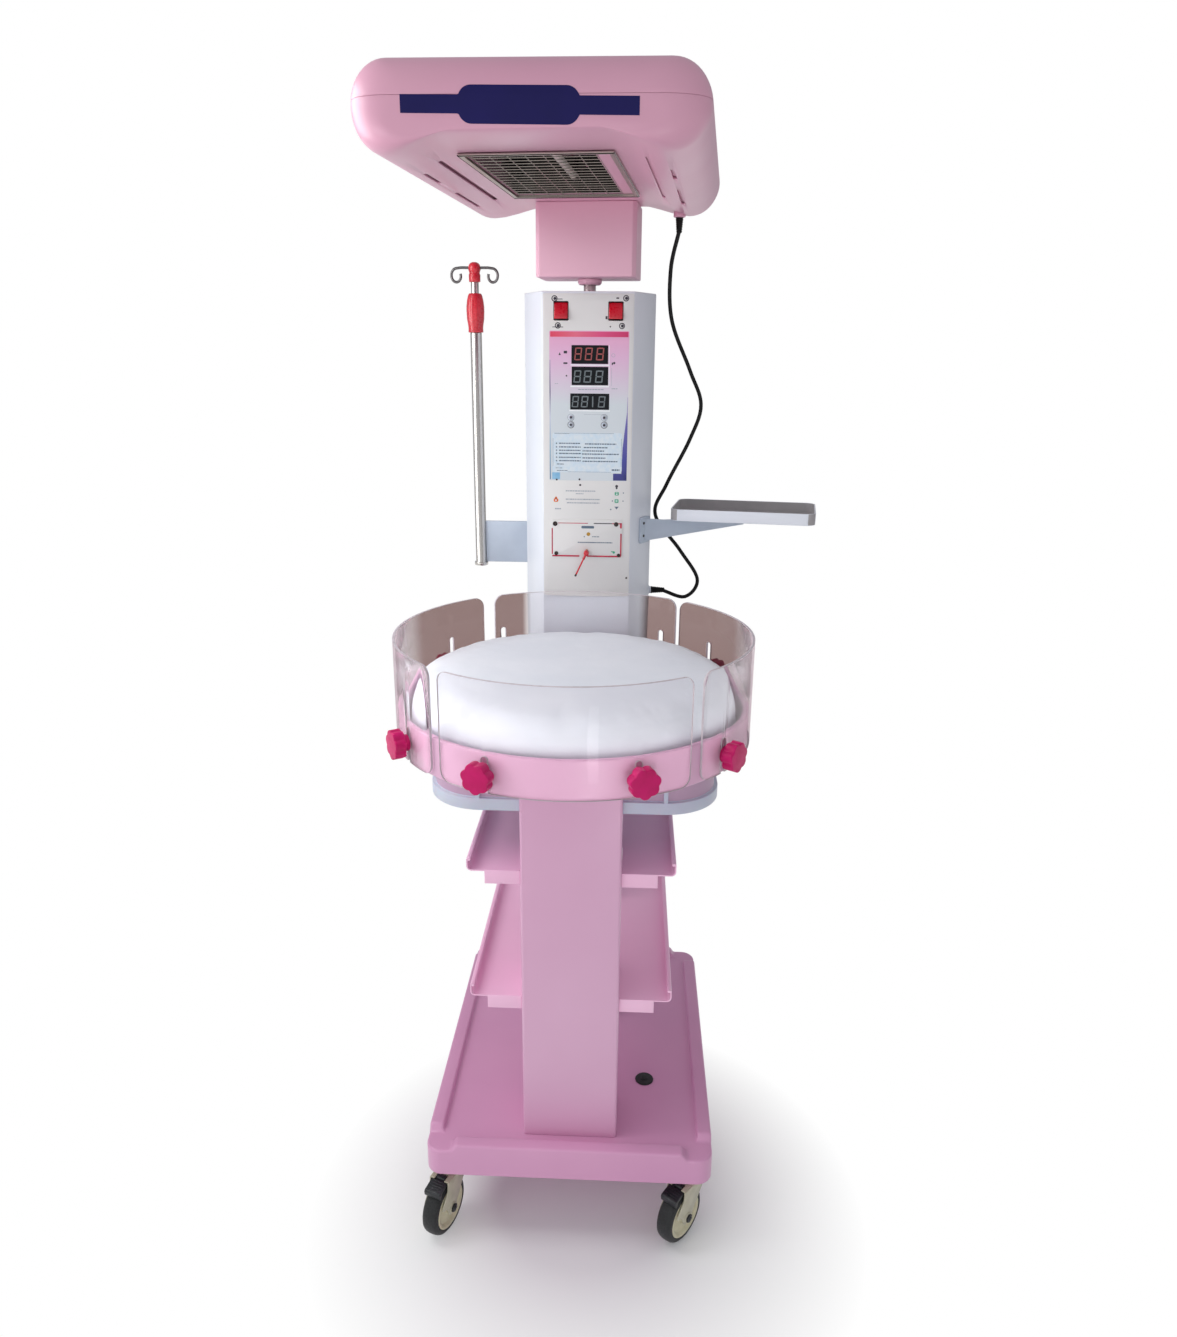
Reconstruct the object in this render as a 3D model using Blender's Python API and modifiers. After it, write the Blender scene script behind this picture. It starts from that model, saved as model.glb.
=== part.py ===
"""Infant radiant warmer on a four-caster stand.

A round bed with four clear side panels stands on a pedestal. Behind it rises a chamfered
control mast that carries a swivelling radiant heater, a pole with hooks and a small tray.
Metres, +Z up. X = 0 is the middle plane, Y = 0 the bed's centre, Z = 0 the floor, until the
last step moves the whole stand so that its box is centred on the origin.
"""
import math

import bmesh
import bpy
from mathutils import Matrix, Vector

# Fits between pieces
GAP = 0.0003
RUN = 0.0004
SLIDE = 0.0005
WELD = 0.00002
MERGE = 0.00005
THROUGH = 0.004

# Base tray
BASE_HALF_X = 0.246
BASE_FRONT = -0.0366
BASE_REAR = 0.5888
BASE_UNDER = 0.130
BASE_TALL = 0.0478
BASE_DECK = BASE_UNDER + BASE_TALL
BASE_CORNER = 0.028
BASE_WALL = 0.003
RAIL_HEIGHT = 0.012
RAIL_WIDTH = 0.025
RAIL_END = 0.0165
RAIL_SLANT = 0.008
GUSSET_SIZE = 0.072
GUSSET_THICK = 0.004
GROMMET_X = 0.131
GROMMET_Y = 0.160
GROMMET_RADIUS = 0.017
GROMMET_NECK = 0.012
GROMMET_RISE = 0.003
GROMMET_BOLT = 0.006

# Casters, in their own frame: the swivel axis at the origin, the wheel trailing along +X
CASTER_INSET_X = 0.036
CASTER_INSET_Y = 0.042
CASTER_TRAIL = 0.028
CASTER_TURNS = {"front_left": -112, "front_right": -128, "rear_left": -90, "rear_right": -90}
WHEEL_RADIUS = 0.050
WHEEL_HALF = 0.0150
HUB_RADIUS = 0.0385
HUB_HALF = 0.0158
HUB_BORE = 0.0056
TYRE_LIP = 0.0345
AXLE_RADIUS = 0.0052
FORK_INNER = 0.0168
FORK_PLATE = 0.0026
FORK_LEG_LOW = 0.013
FORK_LEG_HIGH = 0.024
CROWN_RADIUS = 0.024
CROWN_LOW = 0.1035
CROWN_HIGH = 0.1105
CUP_RADIUS = 0.022
CUP_LOW = 0.1130
STEM_RADIUS = 0.0065
STEM_TOP = 0.1230
PEDAL_LENGTH = 0.034
PEDAL_WIDTH = 0.030
PEDAL_THICK = 0.0045
PEDAL_X = 0.030
PEDAL_Z = 0.1068
PEDAL_DROOP = math.radians(12)
PEDAL_PIN = 0.0028

# Pedestal and rear post. The photographed stand is a little off its middle plane.
STAND_X = -0.005
MAST_X = 0.004
PEDESTAL_HALF = 0.081
PEDESTAL_FRONT = 0.0102
PEDESTAL_DEPTH = 0.100
PEDESTAL_EDGE = 0.005
TUBE_WALL = 0.0025
POST_HALF = 0.060
POST_FRONT = 0.335
POST_REAR = 0.425

# Shelves
SHELF_HALF = 0.168
SHELF_FRONT = 0.018
SHELF_REAR = 0.470
SHELF_RISE = 0.2762
SHELF_PITCH = 0.2340
SHELF_LOWER = BASE_DECK + SHELF_RISE
SHELF_UPPER = SHELF_LOWER + SHELF_PITCH
SHELF_SHEET = 0.002
SHELF_RIM = 0.020
SHELF_ROLL = 0.007
SHELF_APRON = 0.024
SHELF_APRON_HALF = 0.139

# Tub under the bed
TUB_HALF = 0.235
TUB_FRONT = 0.022
TUB_REAR = 0.470
TUB_RISE = 0.103
TUB_FLOOR = SHELF_UPPER + TUB_RISE
TUB_BAND = 0.020
TUB_TALL = 0.139
TUB_TOP = TUB_FLOOR + TUB_TALL
TUB_CORNER = 0.090
TUB_STEP = 0.006
TUB_WALL = 0.003

# Round bed
PAN_RADIUS = 0.257
PAN_CLEAR = 0.009
PAN_TALL = 0.057
PAN_LOW = TUB_TOP + PAN_CLEAR
PAN_HIGH = PAN_LOW + PAN_TALL
PAN_WALL = 0.008
PAN_FLOOR = 0.004
MATTRESS_SLACK = 0.0035
MATTRESS_RADIUS = PAN_RADIUS - PAN_WALL - MATTRESS_SLACK
MATTRESS_WAIST = 0.004
MATTRESS_PROUD = 0.030
MATTRESS_SWELL = 0.014
MATTRESS_EDGE = PAN_HIGH + MATTRESS_PROUD
MATTRESS_CROWN = MATTRESS_EDGE + MATTRESS_SWELL
MATTRESS_ROUND = 0.030
MATTRESS_FOOT = 0.012

# Clear panels
PANEL_SHEET = 0.0035
PANEL_FOOT = 0.0020
PANEL_TALL = 0.1520
PANEL_LOW = PAN_LOW + PANEL_FOOT
PANEL_HIGH = PANEL_LOW + PANEL_TALL
PANEL_CORNER = 0.016
PANEL_SPANS = (
    ("front", 0, 39),
    ("right", 92, 49),
    ("rear", 178.5, 35.8),
    ("left", -92, 49),
)
SLOT_HALF = 0.0045
SLOT_ABOVE = 0.022
SLOT_REAR_ABOVE = 0.052

# Clamping knobs
KNOB_RISE = 0.030
KNOB_REAR_RISE = 0.046
KNOB_Z = PAN_LOW + KNOB_RISE
KNOB_REAR_Z = PAN_LOW + KNOB_REAR_RISE
KNOB_TURNS = (-22.5, 21.7, 53.5, 126, 149, -149, -126, -57)
KNOB_LOBES = 7
KNOB_RADIUS = 0.0195
KNOB_WAVE = 0.0015
KNOB_THICK = 0.016
KNOB_COLLAR = 0.0115
KNOB_COLLAR_LONG = 0.008
KNOB_BOLT = 0.0031
KNOB_HOLE = 0.006

# Control mast
MAST_HALF = 0.109
MAST_FACE = 0.075
MAST_FRONT = 0.291
MAST_CHAMFER = 0.061
MAST_REAR = 0.440
MAST_RISE = 0.0055
MAST_TALL = 0.6305
MAST_LOW = PAN_LOW + MAST_RISE
MAST_TOP = MAST_LOW + MAST_TALL
POST_BELOW = 0.075
POST_TOP = MAST_TOP - POST_BELOW
MAST_WALL = 0.0025
FASCIA_SHEET = 0.002
FASCIA_MARGIN = 0.0015
FASCIA_RISE = 0.1305
FASCIA_SETBACK = 0.0035
FASCIA_LOW = MAST_LOW + FASCIA_RISE
FASCIA_HIGH = MAST_TOP - FASCIA_SETBACK
ROCKER_X = 0.044
ROCKER_BELOW = 0.0265
ROCKER_Z = FASCIA_HIGH - ROCKER_BELOW
ROCKER_WIDE = 0.0220
ROCKER_TALL = 0.0270
ROCKER_DEEP = 0.012
ROCKER_PEAK = 0.005
ROCKER_ROOM = 0.0012
ROCKER_PIN = 0.0012
BUTTON_RADIUS = 0.0042
BUTTON_PROUD = 0.0015
BUTTON_DEEP = 0.006
BUTTON_X = 0.0275
BUTTON_RISE = 0.2925
BUTTON_PITCH = 0.0120
BUTTON_LOW = FASCIA_LOW + BUTTON_RISE
BUTTON_HIGH = BUTTON_LOW + BUTTON_PITCH
BUTTON_PLACES = (
    ("upper_left", -BUTTON_X, BUTTON_HIGH),
    ("upper_right", BUTTON_X, BUTTON_HIGH),
    ("lower_left", -BUTTON_X, BUTTON_LOW),
    ("lower_right", BUTTON_X, BUTTON_LOW),
)
PLATE_HALF = 0.0605
PLATE_RISE = 0.0715
PLATE_TALL = 0.0640
PLATE_LOW = FASCIA_LOW + PLATE_RISE
PLATE_HIGH = PLATE_LOW + PLATE_TALL
PLATE_SHEET = 0.0015
PLATE_CORNER = 0.003
JACK_RISE = 0.0085
JACK_Z = PLATE_LOW + JACK_RISE
JACK_RADIUS = 0.0045
JACK_LONG = 0.012
LEAD_RADIUS = 0.0014
LEAD_LONG = 0.044
LEAD_LEAN = math.radians(25)

# Swivel pin and neck
PIN_Y = 0.335
PIN_RADIUS = 0.011
PIN_FLANGE = 0.0195
PIN_FLANGE_RISE = 0.0118
PIN_FLANGE_LOW = MAST_TOP + PIN_FLANGE_RISE
NECK_HALF = 0.0800
NECK_FRONT = 0.280
NECK_REAR = 0.376
NECK_RISE = 0.0205
NECK_TALL = 0.1095
NECK_LOW = MAST_TOP + NECK_RISE
NECK_SHEET = 0.0025
NECK_CHAMFER = 0.012

# Heater head, in its own frame: the swivel axis at the origin, the front along -Y
HEAD_TURN = math.radians(-5.4)
HEAD_HALF = 0.2035
HEAD_FRONT = -0.538
HEAD_REAR = 0.035
HEAD_LOBE_DROP = 0.016
HEAD_TALL = 0.096
HEAD_SEAM_SHARE = 0.5521
HEAD_UNDER = NECK_LOW + NECK_TALL
HEAD_LOBE = HEAD_UNDER - HEAD_LOBE_DROP
HEAD_TOP = HEAD_LOBE + HEAD_TALL
HEAD_SEAM = HEAD_LOBE + HEAD_TALL * HEAD_SEAM_SHARE
HEAD_CREASE = 0.105
HEAD_LOBE_X = 0.160
HEAD_ROUND_X = 0.050
HEAD_ROUND_Y = 0.036
HEAD_ROUND_TOP = 0.042
HEAD_ROUND_LOW = 0.014
HEAD_SHEET = 0.003
HEAD_END_STEPS = 9
HEAD_ROUND_STEPS = 4
VENT_WIDE = 0.008
VENTS = (
    (0.126, -0.423, -0.120),
    (0.154, -0.392, -0.325),
    (0.154, -0.246, -0.115),
)
FRAME_HALF = 0.089
FRAME_FRONT = -0.436
FRAME_REAR = -0.110
FRAME_SHEET = 0.003
FRAME_LIP = 0.009
REFLECTOR_RISE = 0.052
REFLECTOR_SLOPE_SHARE = 0.60
REFLECTOR_SHEET = 0.0012
GRILLE_SHEET = 0.0012
GRILLE_BAR = 0.0022
GRILLE_ROWS = 8
GRILLE_COLUMNS = 3
GRILLE_SET = 0.0014
HEATER_RADIUS = 0.0060
HEATER_RISE = 0.026

# Pole with hooks
POLE_X = -0.202
POLE_Y = 0.420
POLE_RISE = 0.1595
POLE_TALL = 0.4100
POLE_LOW = MAST_LOW + POLE_RISE
POLE_HIGH = POLE_LOW + POLE_TALL
POLE_RADIUS = 0.0100
POLE_WALL = 0.0018
POLE_CAP = 0.006
POLE_CAP_RADIUS = 0.0125
GRIP_TALL = 0.064
GRIP_HIGH = POLE_HIGH + GRIP_TALL
GRIP_RADIUS = 0.0155
GRIP_NECK = 0.0105
GRIP_WALL = 0.0004
ROD_RADIUS = 0.0067
ROD_RISE = 0.021
ROD_SHOW = 0.0185
ROD_STEM = 0.0215
ROD_LOW = POLE_LOW + ROD_RISE
ROD_HEAD_LOW = GRIP_HIGH + ROD_SHOW
ROD_TOP = ROD_HEAD_LOW + ROD_STEM
ROD_HEAD_RADIUS = 0.0105
ROD_CAP = 0.0105
HOOK_RISE = 0.0005
ROD_HEAD_TOP = ROD_TOP + ROD_CAP
HOOK_Z = ROD_TOP + HOOK_RISE
HOOK_WIRE = 0.0023
HOOK_REACH = 0.031
HOOK_CURL = 0.0098
HOOK_DROP = 0.0145
HOOK_STEPS = 9
BRACKET_LOW = POLE_LOW + POLE_CAP + GAP
BRACKET_TALL = 0.0757
BRACKET_HIGH = BRACKET_LOW + BRACKET_TALL
BRACKET_SHEET = 0.005

# Side tray and its arm
TRAY_X = 0.275
TRAY_Y = 0.377
TRAY_TURN = math.radians(-9)
TRAY_LONG = 0.247
TRAY_DEEP = 0.145
ARM_RISE = 0.2215
ARM_TALL = 0.0450
ARM_LOW = MAST_LOW + ARM_RISE
ARM_HIGH = ARM_LOW + ARM_TALL
TRAY_BELOW = 0.0055
TRAY_TALL = 0.0200
TRAY_LOW = ARM_HIGH - TRAY_BELOW
TRAY_HIGH = TRAY_LOW + TRAY_TALL
TRAY_SHEET = 0.002
TRAY_CORNER = 0.012
TRAY_BOLT = 0.006
TRAY_BOLT_HEAD = 0.010
TRAY_BOLT_RISE = 0.004
ARM_TIP = 0.012
ARM_SHEET = 0.003
ARM_PAD = 0.020
ARM_PAD_THICK = 0.003
ARM_PLATE_WIDE = 0.034
ARM_PLACE_SHARE = 0.66

# Head cord, hanging from the head's rear right corner to the mast's right side
CORD_RADIUS = 0.0033
CORD_STEP = 0.0165
CORD_SIDES = 2
CORD_DIVISIONS = 20
GLAND_RADIUS = 0.0065
GLAND_LONG = 0.006
CORD_HEAD = (0.146, 0.322)
CORD_MAST = (0.400, 1.066)
CORD_VIA = (
    (0.1355, 0.352, 1.612),
    (0.1405, 0.372, 1.535),
    (0.1745, 0.388, 1.455),
    (0.1965, 0.395, 1.397),
    (0.1795, 0.398, 1.338),
    (0.1415, 0.398, 1.260),
    (0.1225, 0.398, 1.205),
    (0.1690, 0.400, 1.141),
    (0.2030, 0.400, 1.087),
    (0.1815, 0.400, 1.054),
)

FINISHES = {
    "pink_paint": ("#E0AFCB", 0.35, 0, 1),
    "white_paint": ("#DDE0E6", 0.4, 0, 1),
    "white_plastic": ("#E3E6EE", 0.45, 0, 1),
    "mattress_cloth": ("#EDEFF5", 0.85, 0, 1),
    "clear_acrylic": ("#D9D2CE", 0.08, 0, 0.3),
    "magenta_plastic": ("#D81C7C", 0.35, 0, 1),
    "red_plastic": ("#C8142A", 0.35, 0, 1),
    "black_rubber": ("#141416", 0.7, 0, 1),
    "cream_plastic": ("#DAD4BD", 0.45, 0, 1),
    "cream_metal": ("#C9C4AE", 0.4, 0.4, 1),
    "black_plastic": ("#1A1B20", 0.45, 0, 1),
    "steel": ("#B9B7B4", 0.3, 1, 1),
    "reflector_metal": ("#C4C2BE", 0.18, 1, 1),
    "dark_metal": ("#3B3834", 0.4, 0.7, 1),
    "heater_ceramic": ("#8D857E", 0.6, 0, 1),
    "button_grey": ("#B9BDC8", 0.5, 0, 1),
}


def linear(channel):
    """One sRGB channel as the linear value that a shader takes."""
    if channel <= 0.04045:
        return channel / 12.92
    return ((channel + 0.055) / 1.055) ** 2.4


def finish(obj, name):
    """Give the object a material of its own in one of the named finishes."""
    code, roughness, metallic, alpha = FINISHES[name]
    material = bpy.data.materials.new(obj.name + "_" + name)
    material.use_nodes = True
    shader = material.node_tree.nodes["Principled BSDF"]
    channels = [linear(int(code[i:i + 2], 16) / 255) for i in (1, 3, 5)]
    shader.inputs["Base Color"].default_value = (*channels, 1)
    shader.inputs["Roughness"].default_value = roughness
    shader.inputs["Metallic"].default_value = metallic
    shader.inputs["Alpha"].default_value = alpha
    obj.data.materials.clear()
    obj.data.materials.append(material)
    return obj


def collection(name):
    made = bpy.data.collections.new(name)
    bpy.context.scene.collection.children.link(made)
    return made


def clear_scene():
    for obj in list(bpy.data.objects):
        bpy.data.objects.remove(obj, do_unlink=True)


def pivot(name, place, turn=0, parent=None):
    """An empty on a joint's axis, turned about Z."""
    empty = bpy.data.objects.new(name, None)
    empty.empty_display_size = WHEEL_RADIUS
    empty.location = place
    empty.rotation_euler = (0, 0, turn)
    empty.parent = parent or STAND
    PARTS.objects.link(empty)
    return empty


def from_bmesh(name, bm, place=(0, 0, 0), parent=None):
    mesh = bpy.data.meshes.new(name)
    bm.to_mesh(mesh)
    bm.free()
    obj = bpy.data.objects.new(name, mesh)
    obj.location = place
    obj.parent = parent or STAND
    PARTS.objects.link(obj)
    return obj


def block(name, low, high, parent=None, round_by=0, round_steps=3, axis=2):
    """A box between two corners, with its edges along one axis rounded."""
    low, high = Vector(low), Vector(high)
    size = high - low
    bm = bmesh.new()
    bmesh.ops.create_cube(bm, size=1)
    bmesh.ops.scale(bm, vec=size, verts=bm.verts)
    if round_by:
        edges = []
        for edge in bm.edges:
            along = edge.verts[0].co - edge.verts[1].co
            if abs(along[axis]) > size[axis] / 2:
                edges.append(edge)
        bmesh.ops.bevel(bm, geom=edges, offset=round_by, segments=round_steps, profile=0.5,
                        affect="EDGES")
    return from_bmesh(name, bm, (low + high) / 2, parent)


def rod(name, radius, start, end, sides=16, parent=None, radius_end=None):
    """A capped cylinder, or a cone, from one point to another."""
    start, end = Vector(start), Vector(end)
    along = end - start
    bm = bmesh.new()
    last = radius if radius_end is None else radius_end
    bmesh.ops.create_cone(bm, cap_ends=True, segments=sides, radius1=radius, radius2=last,
                          depth=along.length)
    turn = Vector((0, 0, 1)).rotation_difference(along).to_matrix()
    bmesh.ops.rotate(bm, cent=(0, 0, 0), matrix=turn, verts=bm.verts)
    obj = from_bmesh(name, bm, (start + end) / 2, parent)
    smooth(obj)
    return obj


def smooth(obj, angle=40):
    obj.data.shade_smooth()
    obj.data.set_sharp_from_angle(angle=math.radians(angle))


def turned(name, profile, sides, place=(0, 0, 0), parent=None):
    """A closed turned piece: the profile is (radius, height) pairs, run down the outer side."""
    bm = bmesh.new()
    verts = [bm.verts.new((radius, 0, height)) for radius, height in profile]
    pairs = list(zip(verts, verts[1:]))
    if profile[0][0] > 0:
        pairs.append((verts[-1], verts[0]))
    for first, second in pairs:
        bm.edges.new((first, second))
    obj = from_bmesh(name, bm, place, parent)
    screw = obj.modifiers.new("turn", "SCREW")
    screw.axis = "Z"
    screw.steps = sides
    screw.render_steps = sides
    screw.use_merge_vertices = True
    screw.merge_threshold = MERGE
    screw.use_smooth_shade = True
    return obj


def as_mesh(curve_object):
    """Replace a curve object by its welded mesh."""
    bpy.context.view_layer.update()
    graph = bpy.context.evaluated_depsgraph_get()
    mesh = bpy.data.meshes.new_from_object(curve_object.evaluated_get(graph))
    bm = bmesh.new()
    bm.from_mesh(mesh)
    bmesh.ops.remove_doubles(bm, verts=bm.verts, dist=WELD)
    bm.to_mesh(mesh)
    bm.free()
    mesh.materials.clear()
    name = curve_object.name
    curve_object.name = name + "_curve"
    obj = bpy.data.objects.new(name, mesh)
    PARTS.objects.link(obj)
    obj.parent = curve_object.parent
    obj.location = curve_object.location
    obj.rotation_euler = curve_object.rotation_euler
    bpy.data.objects.remove(curve_object)
    return obj


def cutout(name, outline, thickness, place=(0, 0, 0), turn=(0, 0, 0), parent=None):
    """A flat plate with the given outline in its own XY plane, centred on its thickness."""
    curve = bpy.data.curves.new(name, "CURVE")
    curve.dimensions = "2D"
    curve.fill_mode = "BOTH"
    curve.extrude = thickness / 2
    spline = curve.splines.new("POLY")
    spline.points.add(len(outline) - 1)
    for point, (x, y) in zip(spline.points, outline):
        point.co = (x, y, 0, 1)
    spline.use_cyclic_u = True
    obj = bpy.data.objects.new(name, curve)
    PARTS.objects.link(obj)
    obj.parent = parent or STAND
    obj.location = place
    obj.rotation_euler = turn
    return as_mesh(obj)


def wire(name, points, radius, detail=1, parent=None):
    """A round tube with capped ends along a list of points."""
    curve = bpy.data.curves.new(name, "CURVE")
    curve.dimensions = "3D"
    curve.bevel_depth = radius
    curve.bevel_resolution = detail
    curve.use_fill_caps = True
    spline = curve.splines.new("POLY")
    spline.points.add(len(points) - 1)
    for point, place in zip(spline.points, points):
        point.co = (*place, 1)
    obj = bpy.data.objects.new(name, curve)
    PARTS.objects.link(obj)
    obj.parent = parent or STAND
    obj = as_mesh(obj)
    smooth(obj)
    return obj


def boolean(target, operation, tools):
    for tool in tools:
        modifier = target.modifiers.new(operation.lower(), "BOOLEAN")
        modifier.operation = operation
        modifier.solver = "EXACT"
        modifier.object = tool
        tool.hide_render = True
        tool.display_type = "WIRE"
        if tool.name in PARTS.objects:
            PARTS.objects.unlink(tool)
            CUTTERS.objects.link(tool)
    return target


def cut(target, *tools):
    return boolean(target, "DIFFERENCE", tools)


def join(target, *tools):
    return boolean(target, "UNION", tools)


def keep_inside(target, *tools):
    return boolean(target, "INTERSECT", tools)


def rounded_outline(half_x, low, high, radius, steps=4):
    """Corner points of a rounded rectangle, anticlockwise."""
    points = []
    corners = (
        (half_x - radius, low + radius, -90),
        (half_x - radius, high - radius, 0),
        (-half_x + radius, high - radius, 90),
        (-half_x + radius, low + radius, 180),
    )
    for x, y, begin in corners:
        for i in range(steps + 1):
            angle = math.radians(begin + 90 * i / steps)
            points.append((x + radius * math.cos(angle), y + radius * math.sin(angle)))
    return points


def caster_corners():
    front = BASE_FRONT + CASTER_INSET_Y
    rear = BASE_REAR - CASTER_INSET_Y
    side = BASE_HALF_X - CASTER_INSET_X
    return (
        ("front_left", -side, front),
        ("front_right", side, front),
        ("rear_left", -side, rear),
        ("rear_right", side, rear),
    )


def build_base(frame):
    low = (-BASE_HALF_X, BASE_FRONT, BASE_UNDER)
    high = (BASE_HALF_X, BASE_REAR, BASE_DECK)
    tray = block("base_tray", low, high, frame, round_by=BASE_CORNER, round_steps=5)
    inner_low = (low[0] + BASE_WALL, low[1] + BASE_WALL, low[2] - THROUGH)
    inner_high = (high[0] - BASE_WALL, high[1] - BASE_WALL, high[2] - BASE_WALL)
    cut(tray, block("base_hollow", inner_low, inner_high, frame,
                    round_by=BASE_CORNER - BASE_WALL, round_steps=5))
    reach = BASE_CORNER + RAIL_END
    top = BASE_DECK + RAIL_HEIGHT
    foot = BASE_DECK - BASE_WALL / 2
    middle = (BASE_FRONT + BASE_REAR) / 2
    half_deep = (BASE_REAR - BASE_FRONT) / 2
    rails = (
        ("front", BASE_HALF_X - reach, 0, BASE_FRONT + RAIL_WIDTH / 2, 0),
        ("rear", BASE_HALF_X - reach, 0, BASE_REAR - RAIL_WIDTH / 2, 0),
        ("left", half_deep - reach, -BASE_HALF_X + RAIL_WIDTH / 2, middle, 90),
        ("right", half_deep - reach, BASE_HALF_X - RAIL_WIDTH / 2, middle, 90),
    )
    for side, half, x, y, turn in rails:
        outline = (
            (-half, foot),
            (half, foot),
            (half - RAIL_SLANT, top),
            (-half + RAIL_SLANT, top),
        )
        rail = cutout("base_rail_" + side, outline, RAIL_WIDTH - WELD, (x, y, 0),
                      (math.radians(90), 0, math.radians(turn)), frame)
        join(tray, rail)
    for corner, x, y in caster_corners():
        side_x = math.copysign(BASE_HALF_X - BASE_WALL / 2, x)
        side_y = (BASE_FRONT + BASE_WALL / 2) if "front" in corner else (BASE_REAR - BASE_WALL / 2)
        far_x = side_x - math.copysign(GUSSET_SIZE, x)
        far_y = side_y + GUSSET_SIZE * (1 if "front" in corner else -1)
        low = (min(side_x, far_x), min(side_y, far_y), BASE_UNDER)
        high = (max(side_x, far_x), max(side_y, far_y), BASE_UNDER + GUSSET_THICK)
        gusset = block("base_gusset_" + corner, low, high, frame,
                       round_by=BASE_CORNER - BASE_WALL / 2, round_steps=3)
        cup = rod("base_cup_" + corner, CUP_RADIUS, (x, y, CUP_LOW),
                  (x, y, BASE_UNDER + GUSSET_THICK / 2), 16, frame)
        bore = rod("base_bore_" + corner, STEM_RADIUS + RUN, (x, y, CUP_LOW - THROUGH),
                   (x, y, STEM_TOP + GAP), 12, frame)
        join(tray, gusset, cup)
        cut(tray, bore)
    hole = rod("base_grommet_hole", GROMMET_NECK + GAP,
               (GROMMET_X, GROMMET_Y, BASE_DECK - BASE_WALL - THROUGH),
               (GROMMET_X, GROMMET_Y, BASE_DECK + THROUGH), 16, frame)
    cut(tray, hole)
    finish(tray, "pink_paint")
    profile = (
        (0, BASE_DECK + GROMMET_RISE + GROMMET_BOLT / 2),
        (GROMMET_BOLT, BASE_DECK + GROMMET_RISE + GROMMET_BOLT / 2),
        (GROMMET_BOLT, BASE_DECK + GROMMET_RISE),
        (GROMMET_RADIUS - GROMMET_RISE / 2, BASE_DECK + GROMMET_RISE),
        (GROMMET_RADIUS, BASE_DECK + GROMMET_RISE / 2),
        (GROMMET_RADIUS, BASE_DECK + GAP),
        (GROMMET_NECK, BASE_DECK + GAP),
        (GROMMET_NECK, BASE_DECK - BASE_WALL),
        (0, BASE_DECK - BASE_WALL),
    )
    finish(turned("base_grommet", profile, 16, (GROMMET_X, GROMMET_Y, 0), frame),
           "black_rubber")


def build_casters(frame):
    outer = FORK_INNER + FORK_PLATE
    for corner, x, y in caster_corners():
        turn = math.radians(CASTER_TURNS[corner])
        swivel = pivot("caster_swivel_" + corner, (x, y, 0), turn, frame)
        axle = pivot("caster_axle_" + corner, (CASTER_TRAIL, 0, WHEEL_RADIUS), 0, swivel)
        fork = rod("caster_fork_" + corner, CROWN_RADIUS, (0, 0, CROWN_LOW), (0, 0, CROWN_HIGH), 16,
                   swivel)
        join(fork, rod("caster_stem_" + corner, STEM_RADIUS, (0, 0, CROWN_LOW + THROUGH),
                       (0, 0, STEM_TOP), 12, swivel))
        leg_outline = (
            (-FORK_LEG_HIGH, CROWN_HIGH - THROUGH / 2),
            (CASTER_TRAIL - FORK_LEG_LOW, WHEEL_RADIUS),
            (CASTER_TRAIL - FORK_LEG_LOW / 2, WHEEL_RADIUS - FORK_LEG_LOW * 0.87),
            (CASTER_TRAIL + FORK_LEG_LOW / 2, WHEEL_RADIUS - FORK_LEG_LOW * 0.87),
            (CASTER_TRAIL + FORK_LEG_LOW, WHEEL_RADIUS),
            (FORK_LEG_HIGH, CROWN_HIGH - THROUGH / 2),
        )
        for side in (-1, 1):
            leg = cutout("caster_leg_%s_%d" % (corner, side), leg_outline, FORK_PLATE,
                         (0, side * (FORK_INNER + FORK_PLATE / 2), 0), (math.radians(90), 0, 0),
                         swivel)
            join(fork, leg)
        join(fork, rod("caster_axle_pin_" + corner, AXLE_RADIUS,
                       (CASTER_TRAIL, -outer - FORK_PLATE, WHEEL_RADIUS),
                       (CASTER_TRAIL, outer + FORK_PLATE, WHEEL_RADIUS), 14, swivel))
        finish(fork, "cream_metal")
        hub_profile = (
            (HUB_BORE, HUB_HALF),
            (TYRE_LIP / 2, HUB_HALF),
            (TYRE_LIP / 2, HUB_HALF / 2),
            (TYRE_LIP, WHEEL_HALF),
            (HUB_RADIUS, WHEEL_HALF),
            (HUB_RADIUS, -WHEEL_HALF),
            (TYRE_LIP, -WHEEL_HALF),
            (TYRE_LIP / 2, -HUB_HALF / 2),
            (TYRE_LIP / 2, -HUB_HALF),
            (HUB_BORE, -HUB_HALF),
        )
        hub = turned("caster_hub_" + corner, hub_profile, 16, parent=axle)
        hub.rotation_euler = (math.radians(90), 0, 0)
        finish(hub, "cream_plastic")
        tread = WHEEL_RADIUS - HUB_RADIUS
        tyre_profile = (
            (HUB_RADIUS + GAP, WHEEL_HALF),
            (WHEEL_RADIUS - tread / 2, WHEEL_HALF),
            (WHEEL_RADIUS - tread / 10, WHEEL_HALF * 0.6),
            (WHEEL_RADIUS, 0),
            (WHEEL_RADIUS - tread / 10, -WHEEL_HALF * 0.6),
            (WHEEL_RADIUS - tread / 2, -WHEEL_HALF),
            (HUB_RADIUS + GAP, -WHEEL_HALF),
        )
        tyre = turned("caster_tyre_" + corner, tyre_profile, 28, parent=axle)
        tyre.rotation_euler = (math.radians(90), 0, 0)
        finish(tyre, "black_rubber")
        if "front" in corner:
            build_pedal(corner, swivel, fork)


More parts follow.
